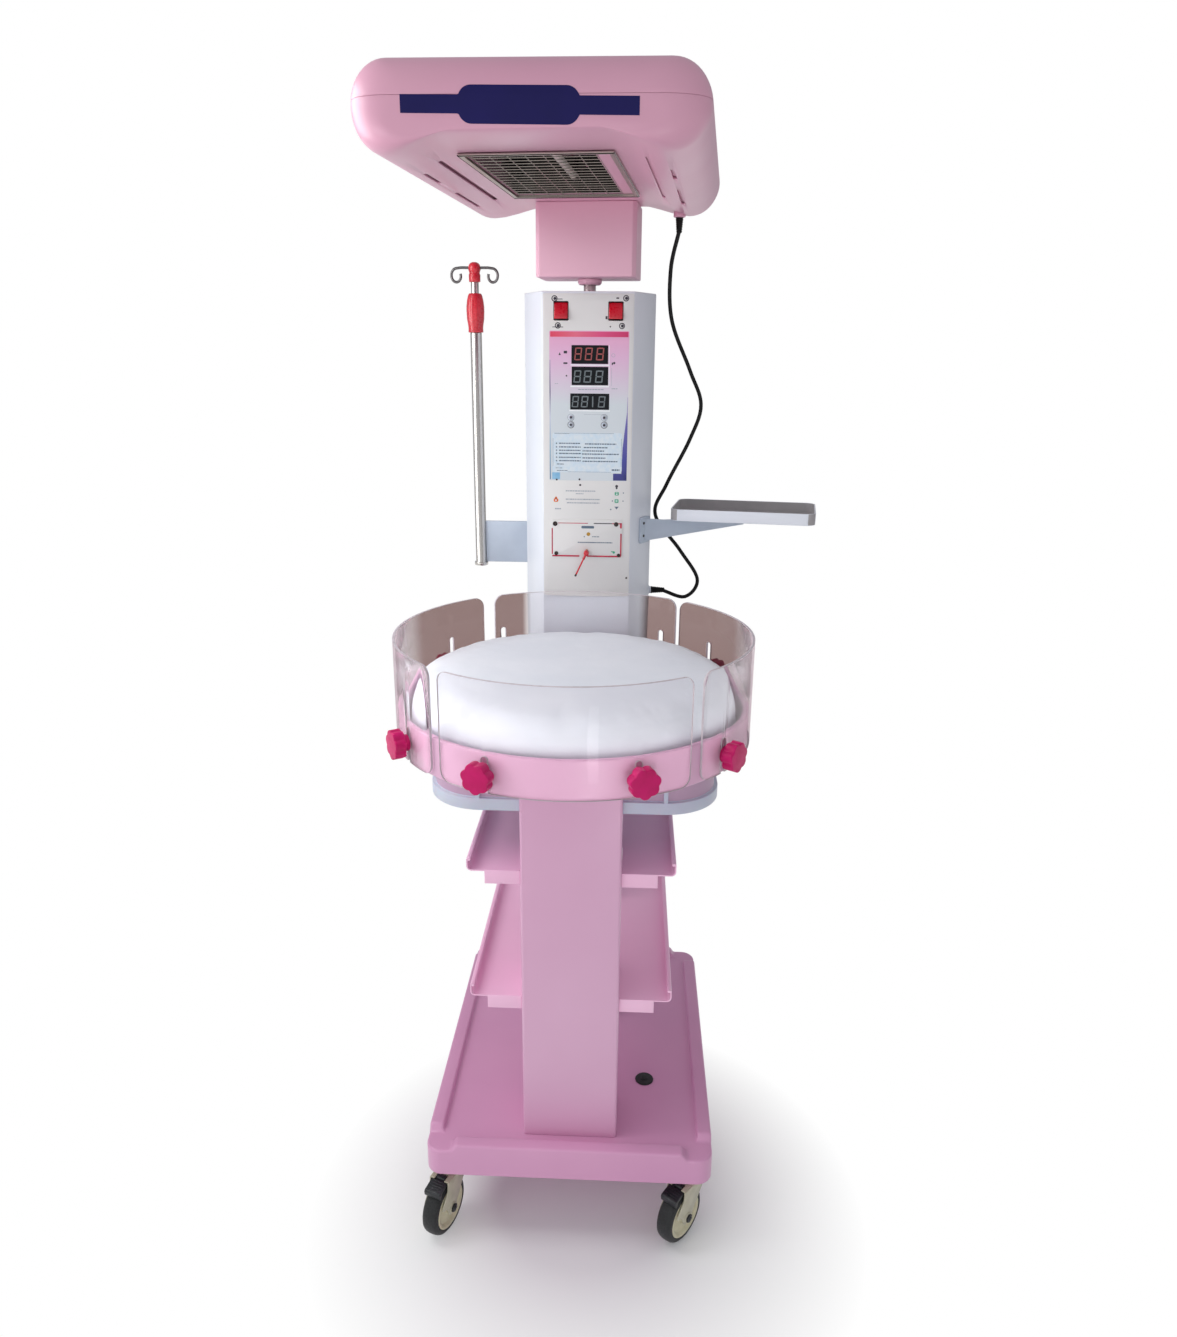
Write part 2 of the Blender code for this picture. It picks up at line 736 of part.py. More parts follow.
def build_pedal(corner, swivel, fork):
    """A brake pedal on a pin between two ears on the fork's crown."""
    hinge = pivot("caster_pedal_pivot_" + corner, (PEDAL_X, 0, PEDAL_Z), 0, swivel)
    half = PEDAL_WIDTH / 2
    pedal = block("caster_pedal_" + corner, (PEDAL_PIN * 2, -half, -PEDAL_THICK / 2),
                  (PEDAL_LENGTH, half, PEDAL_THICK / 2), hinge, round_by=PEDAL_THICK * 1.5,
                  round_steps=2)
    pedal.location = (0, 0, 0)
    for vertex in pedal.data.vertices:
        vertex.co.x += PEDAL_PIN * 2 + (PEDAL_LENGTH - PEDAL_PIN * 2) / 2
    pedal.data.transform(Matrix.Rotation(PEDAL_DROOP, 4, "Y"))
    barrel = rod("caster_pedal_barrel_" + corner, PEDAL_PIN * 2, (0, -half * 0.6, 0),
                 (0, half * 0.6, 0), 12, hinge)
    tongue = block("caster_pedal_tongue_" + corner,
                   (0, -half * 0.6, -PEDAL_THICK / 2), (PEDAL_PIN * 4, half * 0.6, PEDAL_THICK / 2),
                   hinge)
    tongue.rotation_euler = (0, PEDAL_DROOP, 0)
    centre = Vector((PEDAL_PIN * 2, 0, 0))
    centre.rotate(Matrix.Rotation(PEDAL_DROOP, 3, "Y"))
    tongue.location = centre
    join(pedal, barrel, tongue)
    cut(pedal, rod("caster_pedal_bore_" + corner, PEDAL_PIN + RUN, (0, -half, 0), (0, half, 0), 12,
                   hinge))
    finish(pedal, "black_plastic")
    ear = half * 0.6 + SLIDE
    for side in (-1, 1):
        join(fork, block("caster_ear_%s_%d" % (corner, side),
                         (CROWN_RADIUS / 2, side * ear if side > 0 else -ear - FORK_PLATE,
                          CROWN_LOW + GAP),
                         (PEDAL_X + PEDAL_PIN * 1.5, side * ear + FORK_PLATE if side > 0 else -ear,
                          CROWN_HIGH - GAP), swivel))
    join(fork, rod("caster_pedal_pin_" + corner, PEDAL_PIN, (PEDAL_X, -ear - FORK_PLATE / 2, PEDAL_Z),
                   (PEDAL_X, ear + FORK_PLATE / 2, PEDAL_Z), 12, swivel))
    room = rod("caster_pedal_room_" + corner, PEDAL_PIN * 2 + SLIDE, (PEDAL_X, -ear, PEDAL_Z),
               (PEDAL_X, ear, PEDAL_Z), 16, swivel)
    cut(fork, room)
    join(fork, rod("caster_pedal_pin_core_" + corner, PEDAL_PIN,
                   (PEDAL_X, -ear - FORK_PLATE / 3, PEDAL_Z),
                   (PEDAL_X, ear + FORK_PLATE / 3, PEDAL_Z), 12, swivel))


def hollow_box(name, low, high, wall, edge, frame):
    """A square tube open at both ends."""
    tube = block(name, low, high, frame, round_by=edge, round_steps=3)
    inner_low = (low[0] + wall, low[1] + wall, low[2] - THROUGH)
    inner_high = (high[0] - wall, high[1] - wall, high[2] + THROUGH)
    return cut(tube, block(name + "_bore", inner_low, inner_high, frame, round_by=edge - wall,
                           round_steps=2))


def build_stand(front_frame, rear_frame):
    foot = BASE_DECK + GAP
    rear = PEDESTAL_FRONT + PEDESTAL_DEPTH
    finish(hollow_box("pedestal", (-PEDESTAL_HALF, PEDESTAL_FRONT, foot),
                      (PEDESTAL_HALF, rear, PAN_LOW - GAP), TUBE_WALL, PEDESTAL_EDGE, front_frame),
           "pink_paint")
    finish(hollow_box("rear_post", (-POST_HALF, POST_FRONT, foot), (POST_HALF, POST_REAR, POST_TOP),
                      TUBE_WALL, PEDESTAL_EDGE, rear_frame), "white_paint")


def stand_holes(target, name, low, high, frame):
    """Cut the pedestal's notch and the post's hole through a flat piece."""
    rear = PEDESTAL_FRONT + PEDESTAL_DEPTH
    notch = block(name + "_notch", (-PEDESTAL_HALF - GAP, PEDESTAL_FRONT - RAIL_WIDTH, low),
                  (PEDESTAL_HALF + GAP, rear + GAP, high), frame)
    shift = MAST_X - STAND_X
    hole = block(name + "_hole", (shift - POST_HALF - GAP, POST_FRONT - GAP, low),
                 (shift + POST_HALF + GAP, POST_REAR + GAP, high), frame)
    cut(target, notch, hole)


def build_shelf(name, level, frame):
    """A sheet shelf: rims up at the sides and rear, an apron down at the front."""
    floor = level - SHELF_SHEET
    shelf = block(name, (-SHELF_HALF, SHELF_FRONT, floor), (SHELF_HALF, SHELF_REAR, level), frame)
    top = level + SHELF_RIM
    for side in (-1, 1):
        x = side * SHELF_HALF
        inner = side * (SHELF_HALF - SHELF_SHEET)
        roll = side * (SHELF_HALF - SHELF_ROLL)
        join(shelf, block("%s_rim_%d" % (name, side), (min(x, inner), SHELF_FRONT, floor + WELD),
                          (max(x, inner), SHELF_REAR, top), frame))
        join(shelf, block("%s_roll_%d" % (name, side), (min(x, roll), SHELF_FRONT + WELD,
                                                       top - SHELF_SHEET * 2),
                          (max(x, roll), SHELF_REAR - WELD, top - WELD), frame))
        corner = side * (SHELF_HALF - SHELF_ROLL * 2)
        join(shelf, block("%s_return_%d" % (name, side),
                          (min(x, corner), SHELF_FRONT + WELD * 2, floor + WELD * 2),
                          (max(x, corner), SHELF_FRONT + SHELF_SHEET, top - WELD * 2), frame))
    join(shelf, block(name + "_rear", (-SHELF_HALF + WELD, SHELF_REAR - SHELF_SHEET, floor + WELD),
                      (SHELF_HALF - WELD, SHELF_REAR - WELD, top - SHELF_SHEET), frame))
    join(shelf, block(name + "_apron", (-SHELF_APRON_HALF, SHELF_FRONT + WELD, level - SHELF_APRON),
                      (SHELF_APRON_HALF, SHELF_FRONT + SHELF_SHEET, level - WELD), frame))
    stand_holes(shelf, name, level - SHELF_APRON - THROUGH, top + THROUGH, frame)
    finish(shelf, "pink_paint")


def build_tub(frame):
    band_top = TUB_FLOOR + TUB_BAND
    tub = block("bed_tub", (-TUB_HALF, TUB_FRONT, TUB_FLOOR), (TUB_HALF, TUB_REAR, band_top), frame,
                round_by=TUB_CORNER, round_steps=6)
    step = TUB_STEP
    join(tub, block("bed_tub_wall", (-TUB_HALF + step, TUB_FRONT + step, TUB_FLOOR + WELD),
                    (TUB_HALF - step, TUB_REAR - step, TUB_TOP), frame, round_by=TUB_CORNER - step,
                    round_steps=6))
    step = TUB_STEP + TUB_WALL
    cut(tub, block("bed_tub_hollow", (-TUB_HALF + step, TUB_FRONT + step, TUB_FLOOR + TUB_WALL),
                   (TUB_HALF - step, TUB_REAR - step, TUB_TOP + THROUGH), frame,
                   round_by=TUB_CORNER - step, round_steps=6))
    stand_holes(tub, "bed_tub", TUB_FLOOR - THROUGH, TUB_TOP + THROUGH, frame)
    finish(tub, "white_plastic")


def build_bed():
    inner = PAN_RADIUS - PAN_WALL
    floor = PAN_LOW + PAN_FLOOR
    profile = (
        (0, floor),
        (inner, floor),
        (inner, PAN_HIGH),
        (PAN_RADIUS, PAN_HIGH),
        (PAN_RADIUS, PAN_LOW),
        (0, PAN_LOW),
    )
    pan = finish(turned("bed_pan", profile, 64), "pink_paint")
    foot = floor + GAP
    middle = (foot + MATTRESS_EDGE) / 2
    side = MATTRESS_EDGE - MATTRESS_ROUND
    crown = MATTRESS_CROWN - MATTRESS_EDGE
    rows = [(0, MATTRESS_CROWN)]
    for share in (0.25, 0.5, 0.72, 0.88):
        rows.append((MATTRESS_RADIUS * share,
                     MATTRESS_EDGE + crown * math.cos(math.pi / 2 * share ** 1.6)))
    rows.append((MATTRESS_RADIUS - MATTRESS_ROUND / 3, MATTRESS_EDGE - MATTRESS_ROUND / 6))
    rows.append((MATTRESS_RADIUS, side))
    rows.append((MATTRESS_RADIUS - MATTRESS_WAIST, middle - MATTRESS_ROUND / 3))
    rows.append((MATTRESS_RADIUS, foot + MATTRESS_FOOT))
    rows.append((MATTRESS_RADIUS - MATTRESS_FOOT / 4, foot + MATTRESS_FOOT / 4))
    rows.append((MATTRESS_RADIUS - MATTRESS_FOOT, foot))
    rows.append((0, foot))
    finish(turned("mattress", rows, 48), "mattress_cloth")
    return pan


def lobed_outline():
    points = []
    steps = KNOB_LOBES * 3
    for i in range(steps):
        angle = 2 * math.pi * i / steps
        radius = KNOB_RADIUS + KNOB_WAVE * math.cos(KNOB_LOBES * angle)
        points.append((radius * math.cos(angle), radius * math.sin(angle)))
    return points


def knob_levels(turn):
    """The height of a knob and of the top of its slot; those at the rear are higher."""
    if abs(turn) > 90:
        return KNOB_REAR_Z, KNOB_REAR_Z + SLOT_REAR_ABOVE
    return KNOB_Z, KNOB_Z + SLOT_ABOVE


def build_knobs(pan):
    """Knobs whose bolts pass the panels' slots into the pan; each frame points out along +X."""
    seat = PAN_RADIUS + SLIDE + PANEL_SHEET + SLIDE
    for number, turn in enumerate(KNOB_TURNS):
        name = "knob_%d" % (number + 1)
        axis = pivot(name + "_axis", (0, 0, knob_levels(turn)[0]), math.radians(turn - 90))
        end = seat + KNOB_COLLAR_LONG + KNOB_THICK
        centre = seat + KNOB_COLLAR_LONG + KNOB_THICK / 2
        knob = cutout(name, lobed_outline(), KNOB_THICK, (centre, 0, 0), (0, math.radians(90), 0),
                      axis)
        join(knob, rod(name + "_collar", KNOB_COLLAR, (seat, 0, 0), (centre, 0, 0), 12, axis))
        join(knob, rod(name + "_bolt", KNOB_BOLT, (PAN_RADIUS - KNOB_HOLE + GAP, 0, 0),
                       (end - KNOB_THICK / 4, 0, 0), 8, axis))
        finish(knob, "magenta_plastic")
        cut(pan, rod(name + "_hole", KNOB_BOLT + RUN, (PAN_RADIUS - KNOB_HOLE, 0, 0),
                     (seat, 0, 0), 10, axis))


def build_panels():
    """Four clear panels bent round the pan, open below over the knobs' bolts."""
    inner = PAN_RADIUS + SLIDE
    outer = inner + PANEL_SHEET
    profile = (
        (inner, PANEL_HIGH),
        (outer, PANEL_HIGH),
        (outer, PANEL_LOW),
        (inner, PANEL_LOW),
    )
    for side, turn, half_span in PANEL_SPANS:
        name = "panel_" + side
        frame = pivot(name + "_frame", (0, 0, 0), math.radians(turn - 90))
        panel = turned(name, profile, 80, parent=frame)
        half = outer * math.sin(math.radians(half_span))
        high = PANEL_HIGH - PANEL_LOW
        outline = rounded_outline(half, 0, high, PANEL_CORNER, 4)
        shape = cutout(name + "_shape", outline, outer, (outer, 0, PANEL_LOW),
                       (math.radians(90), 0, math.radians(90)), frame)
        keep_inside(panel, shape)
        for number, knob_turn in enumerate(KNOB_TURNS):
            apart = (knob_turn - turn + 180) % 360 - 180
            if abs(apart) > half_span:
                continue
            axis = pivot("%s_slot_axis_%d" % (name, number), (0, 0, 0), math.radians(apart), frame)
            slot = block("%s_slot_%d" % (name, number), (inner - THROUGH, -SLOT_HALF,
                                                        PANEL_LOW - THROUGH),
                         (outer + THROUGH, SLOT_HALF, knob_levels(knob_turn)[1]), axis,
                         round_by=SLOT_HALF * 0.7, round_steps=2, axis=0)
            cut(panel, slot)
        finish(panel, "clear_acrylic")


def build_mast(frame):
    """The control housing: a chamfered sheet box round the rear post."""
    depth = MAST_REAR - MAST_FRONT

    def outline(inset):
        return (
            (-MAST_FACE + inset * 0.6, inset),
            (MAST_FACE - inset * 0.6, inset),
            (MAST_HALF - inset, MAST_CHAMFER + inset * 0.3),
            (MAST_HALF - inset, depth - inset),
            (-MAST_HALF + inset, depth - inset),
            (-MAST_HALF + inset, MAST_CHAMFER + inset * 0.3),
        )

    middle = (MAST_LOW + MAST_TOP) / 2
    mast = cutout("mast_housing", outline(0), MAST_TOP - MAST_LOW, (0, MAST_FRONT, middle),
                  parent=frame)
    cut(mast, cutout("mast_hollow", outline(MAST_WALL), MAST_TOP - MAST_LOW - 2 * MAST_WALL,
                     (0, MAST_FRONT, middle), parent=frame))
    cut(mast, block("mast_post_hole", (-POST_HALF - GAP, POST_FRONT - GAP, MAST_LOW - THROUGH),
                    (POST_HALF + GAP, POST_REAR + GAP, MAST_LOW + THROUGH), frame))
    cut(mast, rod("mast_pin_hole", PIN_RADIUS + RUN, (0, PIN_Y, MAST_TOP - THROUGH),
                  (0, PIN_Y, MAST_TOP + THROUGH), 20, frame))
    gland_y, gland_z = CORD_MAST
    join(mast, rod("mast_gland", GLAND_RADIUS, (MAST_HALF - MAST_WALL / 2, gland_y, gland_z),
                   (MAST_HALF + GLAND_LONG, gland_y, gland_z), 12, frame))
    face = MAST_FRONT - GAP
    fascia = block("mast_fascia", (-MAST_FACE + FASCIA_MARGIN, face - FASCIA_SHEET, FASCIA_LOW),
                   (MAST_FACE - FASCIA_MARGIN, face, FASCIA_HIGH), frame, round_by=PLATE_CORNER,
                   round_steps=2, axis=1)
    half_wide = ROCKER_WIDE / 2 + ROCKER_ROOM
    half_tall = ROCKER_TALL / 2 + ROCKER_ROOM
    for side in (-1, 1):
        x = side * ROCKER_X
        low = (x - half_wide, face - FASCIA_SHEET - THROUGH, ROCKER_Z - half_tall)
        high = (x + half_wide, MAST_FRONT + MAST_WALL + THROUGH / 2, ROCKER_Z + half_tall)
        window = block("rocker_window_%d" % side, low, high, frame)
        cut(fascia, window)
        cut(mast, window)
        build_rocker("rocker_left" if side < 0 else "rocker_right", x, face - FASCIA_SHEET, frame)
    for name, x, z in BUTTON_PLACES:
        hole = rod("button_hole_" + name, BUTTON_RADIUS + RUN,
                   (x, face - FASCIA_SHEET - THROUGH, z),
                   (x, MAST_FRONT + MAST_WALL + THROUGH / 2, z), 12, frame)
        cut(fascia, hole)
        cut(mast, hole)
        front = face - FASCIA_SHEET - BUTTON_PROUD
        finish(rod("button_" + name, BUTTON_RADIUS, (x, front, z), (x, front + BUTTON_DEEP, z), 12,
                   frame), "button_grey")
    finish(mast, "white_paint")
    finish(fascia, "white_paint")
    build_sensor_plate(face - FASCIA_SHEET, frame)


def build_rocker(name, x, face, frame):
    """A rocker switch on two short pins, turning about X, its upper end pressed in."""
    axis = pivot(name + "_axis", (x, face + ROCKER_DEEP / 3, ROCKER_Z), 0, frame)
    half = ROCKER_TALL / 2
    back = ROCKER_DEEP / 2
    front = -ROCKER_DEEP / 3
    outline = (
        (back, -half * 0.7),
        (back, half * 0.7),
        (front + ROCKER_PEAK / 4, half - ROCKER_ROOM / 3),
        (front - ROCKER_PEAK / 4, 0),
        (front - ROCKER_PEAK, -half + ROCKER_ROOM),
    )
    rocker = cutout(name, outline, ROCKER_WIDE, (0, 0, 0), (math.radians(90), 0, math.radians(90)),
                    axis)
    reach = ROCKER_WIDE / 2 + ROCKER_ROOM - GAP
    join(rocker, rod(name + "_pins", ROCKER_PIN, (-reach, 0, 0), (reach, 0, 0), 8, axis))
    finish(rocker, "red_plastic")


def build_sensor_plate(face, frame):
    plate = block("sensor_plate", (-PLATE_HALF, face - GAP - PLATE_SHEET, PLATE_LOW),
                  (PLATE_HALF, face - GAP, PLATE_HIGH), frame, round_by=PLATE_CORNER,
                  round_steps=2, axis=1)
    front = face - GAP - PLATE_SHEET
    cut(plate, rod("jack_hole", JACK_RADIUS / 2 + GAP, (0, front - THROUGH, JACK_Z),
                   (0, face + THROUGH, JACK_Z), 12, frame))
    finish(plate, "white_paint")
    jack = rod("sensor_jack", JACK_RADIUS, (0, front - GAP - JACK_LONG, JACK_Z),
               (0, front - GAP, JACK_Z), 12, frame)
    join(jack, rod("jack_pin", JACK_RADIUS / 2, (0, front - JACK_LONG / 2, JACK_Z),
                   (0, face - GAP * 2, JACK_Z), 12, frame))
    begin = Vector((0, front - JACK_LONG * 0.7, JACK_Z))
    end = begin + LEAD_LONG * Vector((-math.sin(LEAD_LEAN), 0, -math.cos(LEAD_LEAN)))
    join(jack, rod("jack_lead", LEAD_RADIUS, begin, end, 8, frame))
    finish(jack, "red_plastic")


def head_outline(shrink_x, shrink_top, shrink_low):
    """The head's cross-section: a flat underside between two lobes, round ends, a flat top."""
    middle = (HEAD_LOBE + HEAD_TOP) / 2
    tall = (HEAD_TOP - HEAD_LOBE) / 2
    reach = HEAD_HALF - HEAD_LOBE_X
    right = [(HEAD_CREASE / 2, HEAD_UNDER), (HEAD_CREASE, HEAD_UNDER)]
    for i in range(HEAD_END_STEPS + 1):
        angle = math.radians(-90 + 180 * i / HEAD_END_STEPS)
        right.append((HEAD_LOBE_X + reach * math.cos(angle), middle + tall * math.sin(angle)))
    right.append((HEAD_CREASE / 2, HEAD_TOP))
    left = [(-x, z) for x, z in reversed(right)]
    wide_share = (HEAD_HALF - shrink_x) / HEAD_HALF
    tall_share = (2 * tall - shrink_top - shrink_low) / (2 * tall)
    foot = HEAD_LOBE + shrink_low
    return [(x * wide_share, foot + (z - HEAD_LOBE) * tall_share) for x, z in right + left]


def head_form(name, inset, parent):
    """Loft the cross-section from the rounded front to the rounded rear."""
    sections = []
    front = HEAD_FRONT + inset
    rear = HEAD_REAR - inset
    for i in range(HEAD_ROUND_STEPS + 1):
        angle = math.pi / 2 * i / HEAD_ROUND_STEPS
        shrink = 1 - math.sin(angle)
        back = 1 - math.cos(angle)
        sections.append((front + HEAD_ROUND_Y * back, shrink))
    mirrored = [(rear - (y - front), shrink) for y, shrink in reversed(sections)]
    bm = bmesh.new()
    loops = []
    for y, shrink in sections + mirrored:
        points = head_outline(inset + HEAD_ROUND_X * shrink, inset + HEAD_ROUND_TOP * shrink,
                              inset + HEAD_ROUND_LOW * shrink)
        loops.append([bm.verts.new((x, y, z)) for x, z in points])
    for first, second in zip(loops, loops[1:]):
        count = len(first)
        for i in range(count):
            j = (i + 1) % count
            bm.faces.new((first[i], first[j], second[j], second[i]))
    bm.faces.new(list(reversed(loops[0])))
    bm.faces.new(loops[-1])
    bmesh.ops.recalc_face_normals(bm, faces=bm.faces)
    return from_bmesh(name, bm, (0, 0, 0), parent)


def frame_box(name, spread, low, high, head):
    """A box over the heater's opening, spread past the frame's edge by a margin."""
    return block(name, (-FRAME_HALF - spread, FRAME_FRONT - spread, low),
                 (FRAME_HALF + spread, FRAME_REAR + spread, high), head)


def taper(name, margin, low, high, head):
    """A box over the heater's opening that narrows upwards."""
    obj = frame_box(name, -margin, low, high, head)
    narrow = (high - low) * REFLECTOR_SLOPE_SHARE
    for vertex in obj.data.vertices:
        if vertex.co.z > 0:
            vertex.co.x -= math.copysign(narrow, vertex.co.x)
            vertex.co.y -= math.copysign(narrow, vertex.co.y)
    return obj


def build_head():
    head = pivot("head_swivel", (MAST_X, PIN_Y, 0), HEAD_TURN)
    far = HEAD_HALF * 2
    lower = head_form("head_lower_shell", 0, head)
    hollow = head_form("head_lower_hollow", HEAD_SHEET, head)
    cut(lower, hollow)
    cut(lower, block("head_seam_high", (-far, HEAD_FRONT - far, HEAD_SEAM - GAP / 2),
                     (far, HEAD_REAR + far, HEAD_TOP + far), head))
    mouth = FRAME_LIP - REFLECTOR_SHEET - GAP
    cut(lower, frame_box("head_mouth", -mouth, HEAD_UNDER - THROUGH,
                         HEAD_UNDER + HEAD_SHEET + THROUGH, head))
    for number, (x, low, high) in enumerate(VENTS):
        for side in (-1, 1):
            centre = side * x
            cut(lower, block("head_vent_%d_%d" % (number, side),
                             (centre - VENT_WIDE / 2, low, HEAD_LOBE - THROUGH),
                             (centre + VENT_WIDE / 2, high, HEAD_UNDER + HEAD_SHEET * 2), head))
    spin = Matrix.Rotation(-HEAD_TURN, 3, "Z")
    cord_place = spin @ Vector((CORD_HEAD[0] - MAST_X, CORD_HEAD[1] - PIN_Y, 0))
    join(lower, rod("head_gland", GLAND_RADIUS,
                    (cord_place.x, cord_place.y, HEAD_LOBE - GLAND_LONG / 2),
                    (cord_place.x, cord_place.y, HEAD_LOBE + GLAND_LONG), 12, head))
    finish(lower, "pink_paint")
    upper = head_form("head_upper_shell", 0, head)
    cut(upper, head_form("head_upper_hollow", HEAD_SHEET, head))
    cut(upper, block("head_seam_low", (-far, HEAD_FRONT - far, HEAD_LOBE - far),
                     (far, HEAD_REAR + far, HEAD_SEAM + GAP / 2), head))
    finish(upper, "pink_paint")

    low = HEAD_UNDER - GAP - FRAME_SHEET
    reflector = frame_box("reflector", 0, low, HEAD_UNDER - GAP, head)
    join(reflector, taper("reflector_body", FRAME_LIP - REFLECTOR_SHEET, low + WELD,
                          low + REFLECTOR_RISE, head))
    cut(reflector, taper("reflector_hollow", FRAME_LIP, low - WELD,
                         low + REFLECTOR_RISE - REFLECTOR_SHEET, head))
    heater_z = low + HEATER_RISE
    gone = FRAME_LIP - REFLECTOR_SHEET + HEATER_RISE * REFLECTOR_SLOPE_SHARE
    begin = FRAME_FRONT + gone - HEATER_RADIUS
    end = FRAME_REAR - gone + HEATER_RADIUS
    cut(reflector, rod("heater_hole", HEATER_RADIUS + GAP, (0, begin - far, heater_z),
                       (0, end + far, heater_z), 14, head))
    finish(reflector, "reflector_metal")
    finish(rod("heater_tube", HEATER_RADIUS, (0, begin - HEATER_RADIUS, heater_z),
               (0, end + HEATER_RADIUS, heater_z), 14, head), "heater_ceramic")

    shelf = GRILLE_SET + GRILLE_SHEET
    margin = FRAME_LIP + shelf * REFLECTOR_SLOPE_SHARE + GAP
    grille = frame_box("grille", -margin, low + GRILLE_SET, low + shelf, head)
    wide = 2 * (FRAME_HALF - margin) - GRILLE_BAR
    deep = FRAME_REAR - FRAME_FRONT - 2 * margin - GRILLE_BAR
    step_x = wide / GRILLE_COLUMNS
    step_y = deep / GRILLE_ROWS
    for column in range(GRILLE_COLUMNS):
        for row in range(GRILLE_ROWS):
            x = -wide / 2 + column * step_x
            y = FRAME_FRONT + margin + GRILLE_BAR / 2 + row * step_y
            half = GRILLE_BAR / 2
            cut(grille, block("grille_cell_%d_%d" % (column, row),
                              (x + half, y + half, low - THROUGH),
                              (x + step_x - half, y + step_y - half, low + shelf + THROUGH), head))
    finish(grille, "dark_metal")

    neck_low = Vector((-NECK_HALF, NECK_FRONT - PIN_Y, NECK_LOW))
    neck_high = Vector((NECK_HALF, NECK_REAR - PIN_Y, HEAD_UNDER - GAP))
    neck = block("neck", neck_low, neck_high, head, round_by=NECK_CHAMFER / 2, round_steps=1)
    sheet = Vector((NECK_SHEET, NECK_SHEET, NECK_SHEET))
    cut(neck, block("neck_hollow", neck_low + sheet,
                    (neck_high.x - NECK_SHEET, neck_high.y - NECK_SHEET, neck_high.z + THROUGH),
                    head, round_by=NECK_CHAMFER / 2 - NECK_SHEET / 2, round_steps=1))
    finish(neck, "pink_paint")
    profile = (
        (0, NECK_LOW - GAP),
        (PIN_FLANGE, NECK_LOW - GAP),
        (PIN_FLANGE, PIN_FLANGE_LOW),
        (PIN_RADIUS, PIN_FLANGE_LOW),
        (PIN_RADIUS, POST_TOP + TUBE_WALL),
        (0, POST_TOP + TUBE_WALL),
    )
    finish(turned("swivel_pin", profile, 24, parent=head), "steel")


def hook_points(side):
    """One curled hook: out from the middle, over the top and round under itself."""
    z = HOOK_Z
    centre_x = HOOK_REACH
    points = [(0, z), (HOOK_REACH * 0.45, z + HOOK_WIRE * 0.4)]
    for i in range(HOOK_STEPS + 1):
        angle = math.radians(90 - 292 * i / HOOK_STEPS)
        reach = HOOK_CURL * (1 - 0.28 * i / HOOK_STEPS)
        stretch = 1.25
        x = centre_x + reach * math.cos(angle)
        points.append((x, z - HOOK_CURL * stretch + reach * stretch * math.sin(angle)))
    return [(side * x, 0, height) for x, height in points]


def build_pole(frame):
    bracket_y = POLE_Y
    plate = block("pole_bracket", (POLE_X, bracket_y - BRACKET_SHEET / 2, BRACKET_LOW),
                  (-MAST_HALF - GAP, bracket_y + BRACKET_SHEET / 2, BRACKET_HIGH), frame)
    join(plate, block("pole_flange", (-MAST_HALF - GAP - BRACKET_SHEET / 2,
                                      bracket_y - BRACKET_SHEET * 3, BRACKET_LOW + WELD),
                      (-MAST_HALF - GAP - WELD, bracket_y + BRACKET_SHEET, BRACKET_HIGH - WELD),
                      frame))
    cut(plate, rod("pole_bracket_seat", POLE_RADIUS + GAP,
                   (POLE_X, POLE_Y, BRACKET_LOW - THROUGH),
                   (POLE_X, POLE_Y, BRACKET_HIGH + THROUGH), 20, frame))
    finish(plate, "white_paint")

    axis = pivot("pole_axis", (POLE_X, POLE_Y, 0), 0, frame)
    bore = ROD_RADIUS + RUN
    profile = (
        (bore, POLE_HIGH),
        (POLE_RADIUS, POLE_HIGH),
        (POLE_RADIUS, POLE_LOW + POLE_CAP),
        (POLE_CAP_RADIUS, POLE_LOW + POLE_CAP),
        (POLE_CAP_RADIUS, POLE_LOW),
        (bore, POLE_LOW),
    )
    finish(turned("pole_tube", profile, 20, parent=axis), "steel")
    low = POLE_HIGH + GAP
    tall = GRIP_HIGH - low
    profile = (
        (bore + GRIP_WALL, GRIP_HIGH),
        (GRIP_NECK, GRIP_HIGH),
        (GRIP_RADIUS * 0.92, GRIP_HIGH - tall * 0.18),
        (GRIP_RADIUS, GRIP_HIGH - tall * 0.4),
        (GRIP_RADIUS * 0.97, low + tall * 0.35),
        (GRIP_RADIUS * 0.86, low + tall * 0.2),
        (GRIP_RADIUS * 0.84, low),
        (bore + GRIP_WALL, low),
    )
    finish(turned("pole_grip", profile, 20, parent=axis), "red_plastic")
    inner = rod("pole_rod", ROD_RADIUS, (0, 0, ROD_LOW), (0, 0, ROD_TOP), 16, axis)
    for side in (-1, 1):
        join(inner, wire("hook_wire_%d" % side, hook_points(side), HOOK_WIRE, 1, axis))
    finish(inner, "steel")
    profile = (
        (0, ROD_HEAD_TOP),
        (ROD_HEAD_RADIUS * 0.6, ROD_HEAD_TOP - HOOK_WIRE * 0.7),
        (ROD_HEAD_RADIUS, ROD_HEAD_TOP - HOOK_WIRE * 2.4),
        (ROD_HEAD_RADIUS, HOOK_Z - HOOK_WIRE * 1.8),
        (ROD_HEAD_RADIUS * 0.86, HOOK_Z - HOOK_WIRE * 3),
        (ROD_HEAD_RADIUS * 0.92, ROD_HEAD_LOW),
        (0, ROD_HEAD_LOW),
    )
    red = turned("pole_head", profile, 20, parent=axis)
    cut(red, rod("pole_head_bore", ROD_RADIUS + GAP, (0, 0, ROD_HEAD_LOW - THROUGH),
                 (0, 0, ROD_TOP + HOOK_WIRE + GAP), 16, axis))
    clear = HOOK_WIRE + GAP * 2
    cut(red, block("pole_head_slot", (-HOOK_CURL * 2, -clear, HOOK_Z - clear * 1.2),
                   (HOOK_CURL * 2, clear, HOOK_Z + clear * 1.2), axis))
    finish(red, "red_plastic")


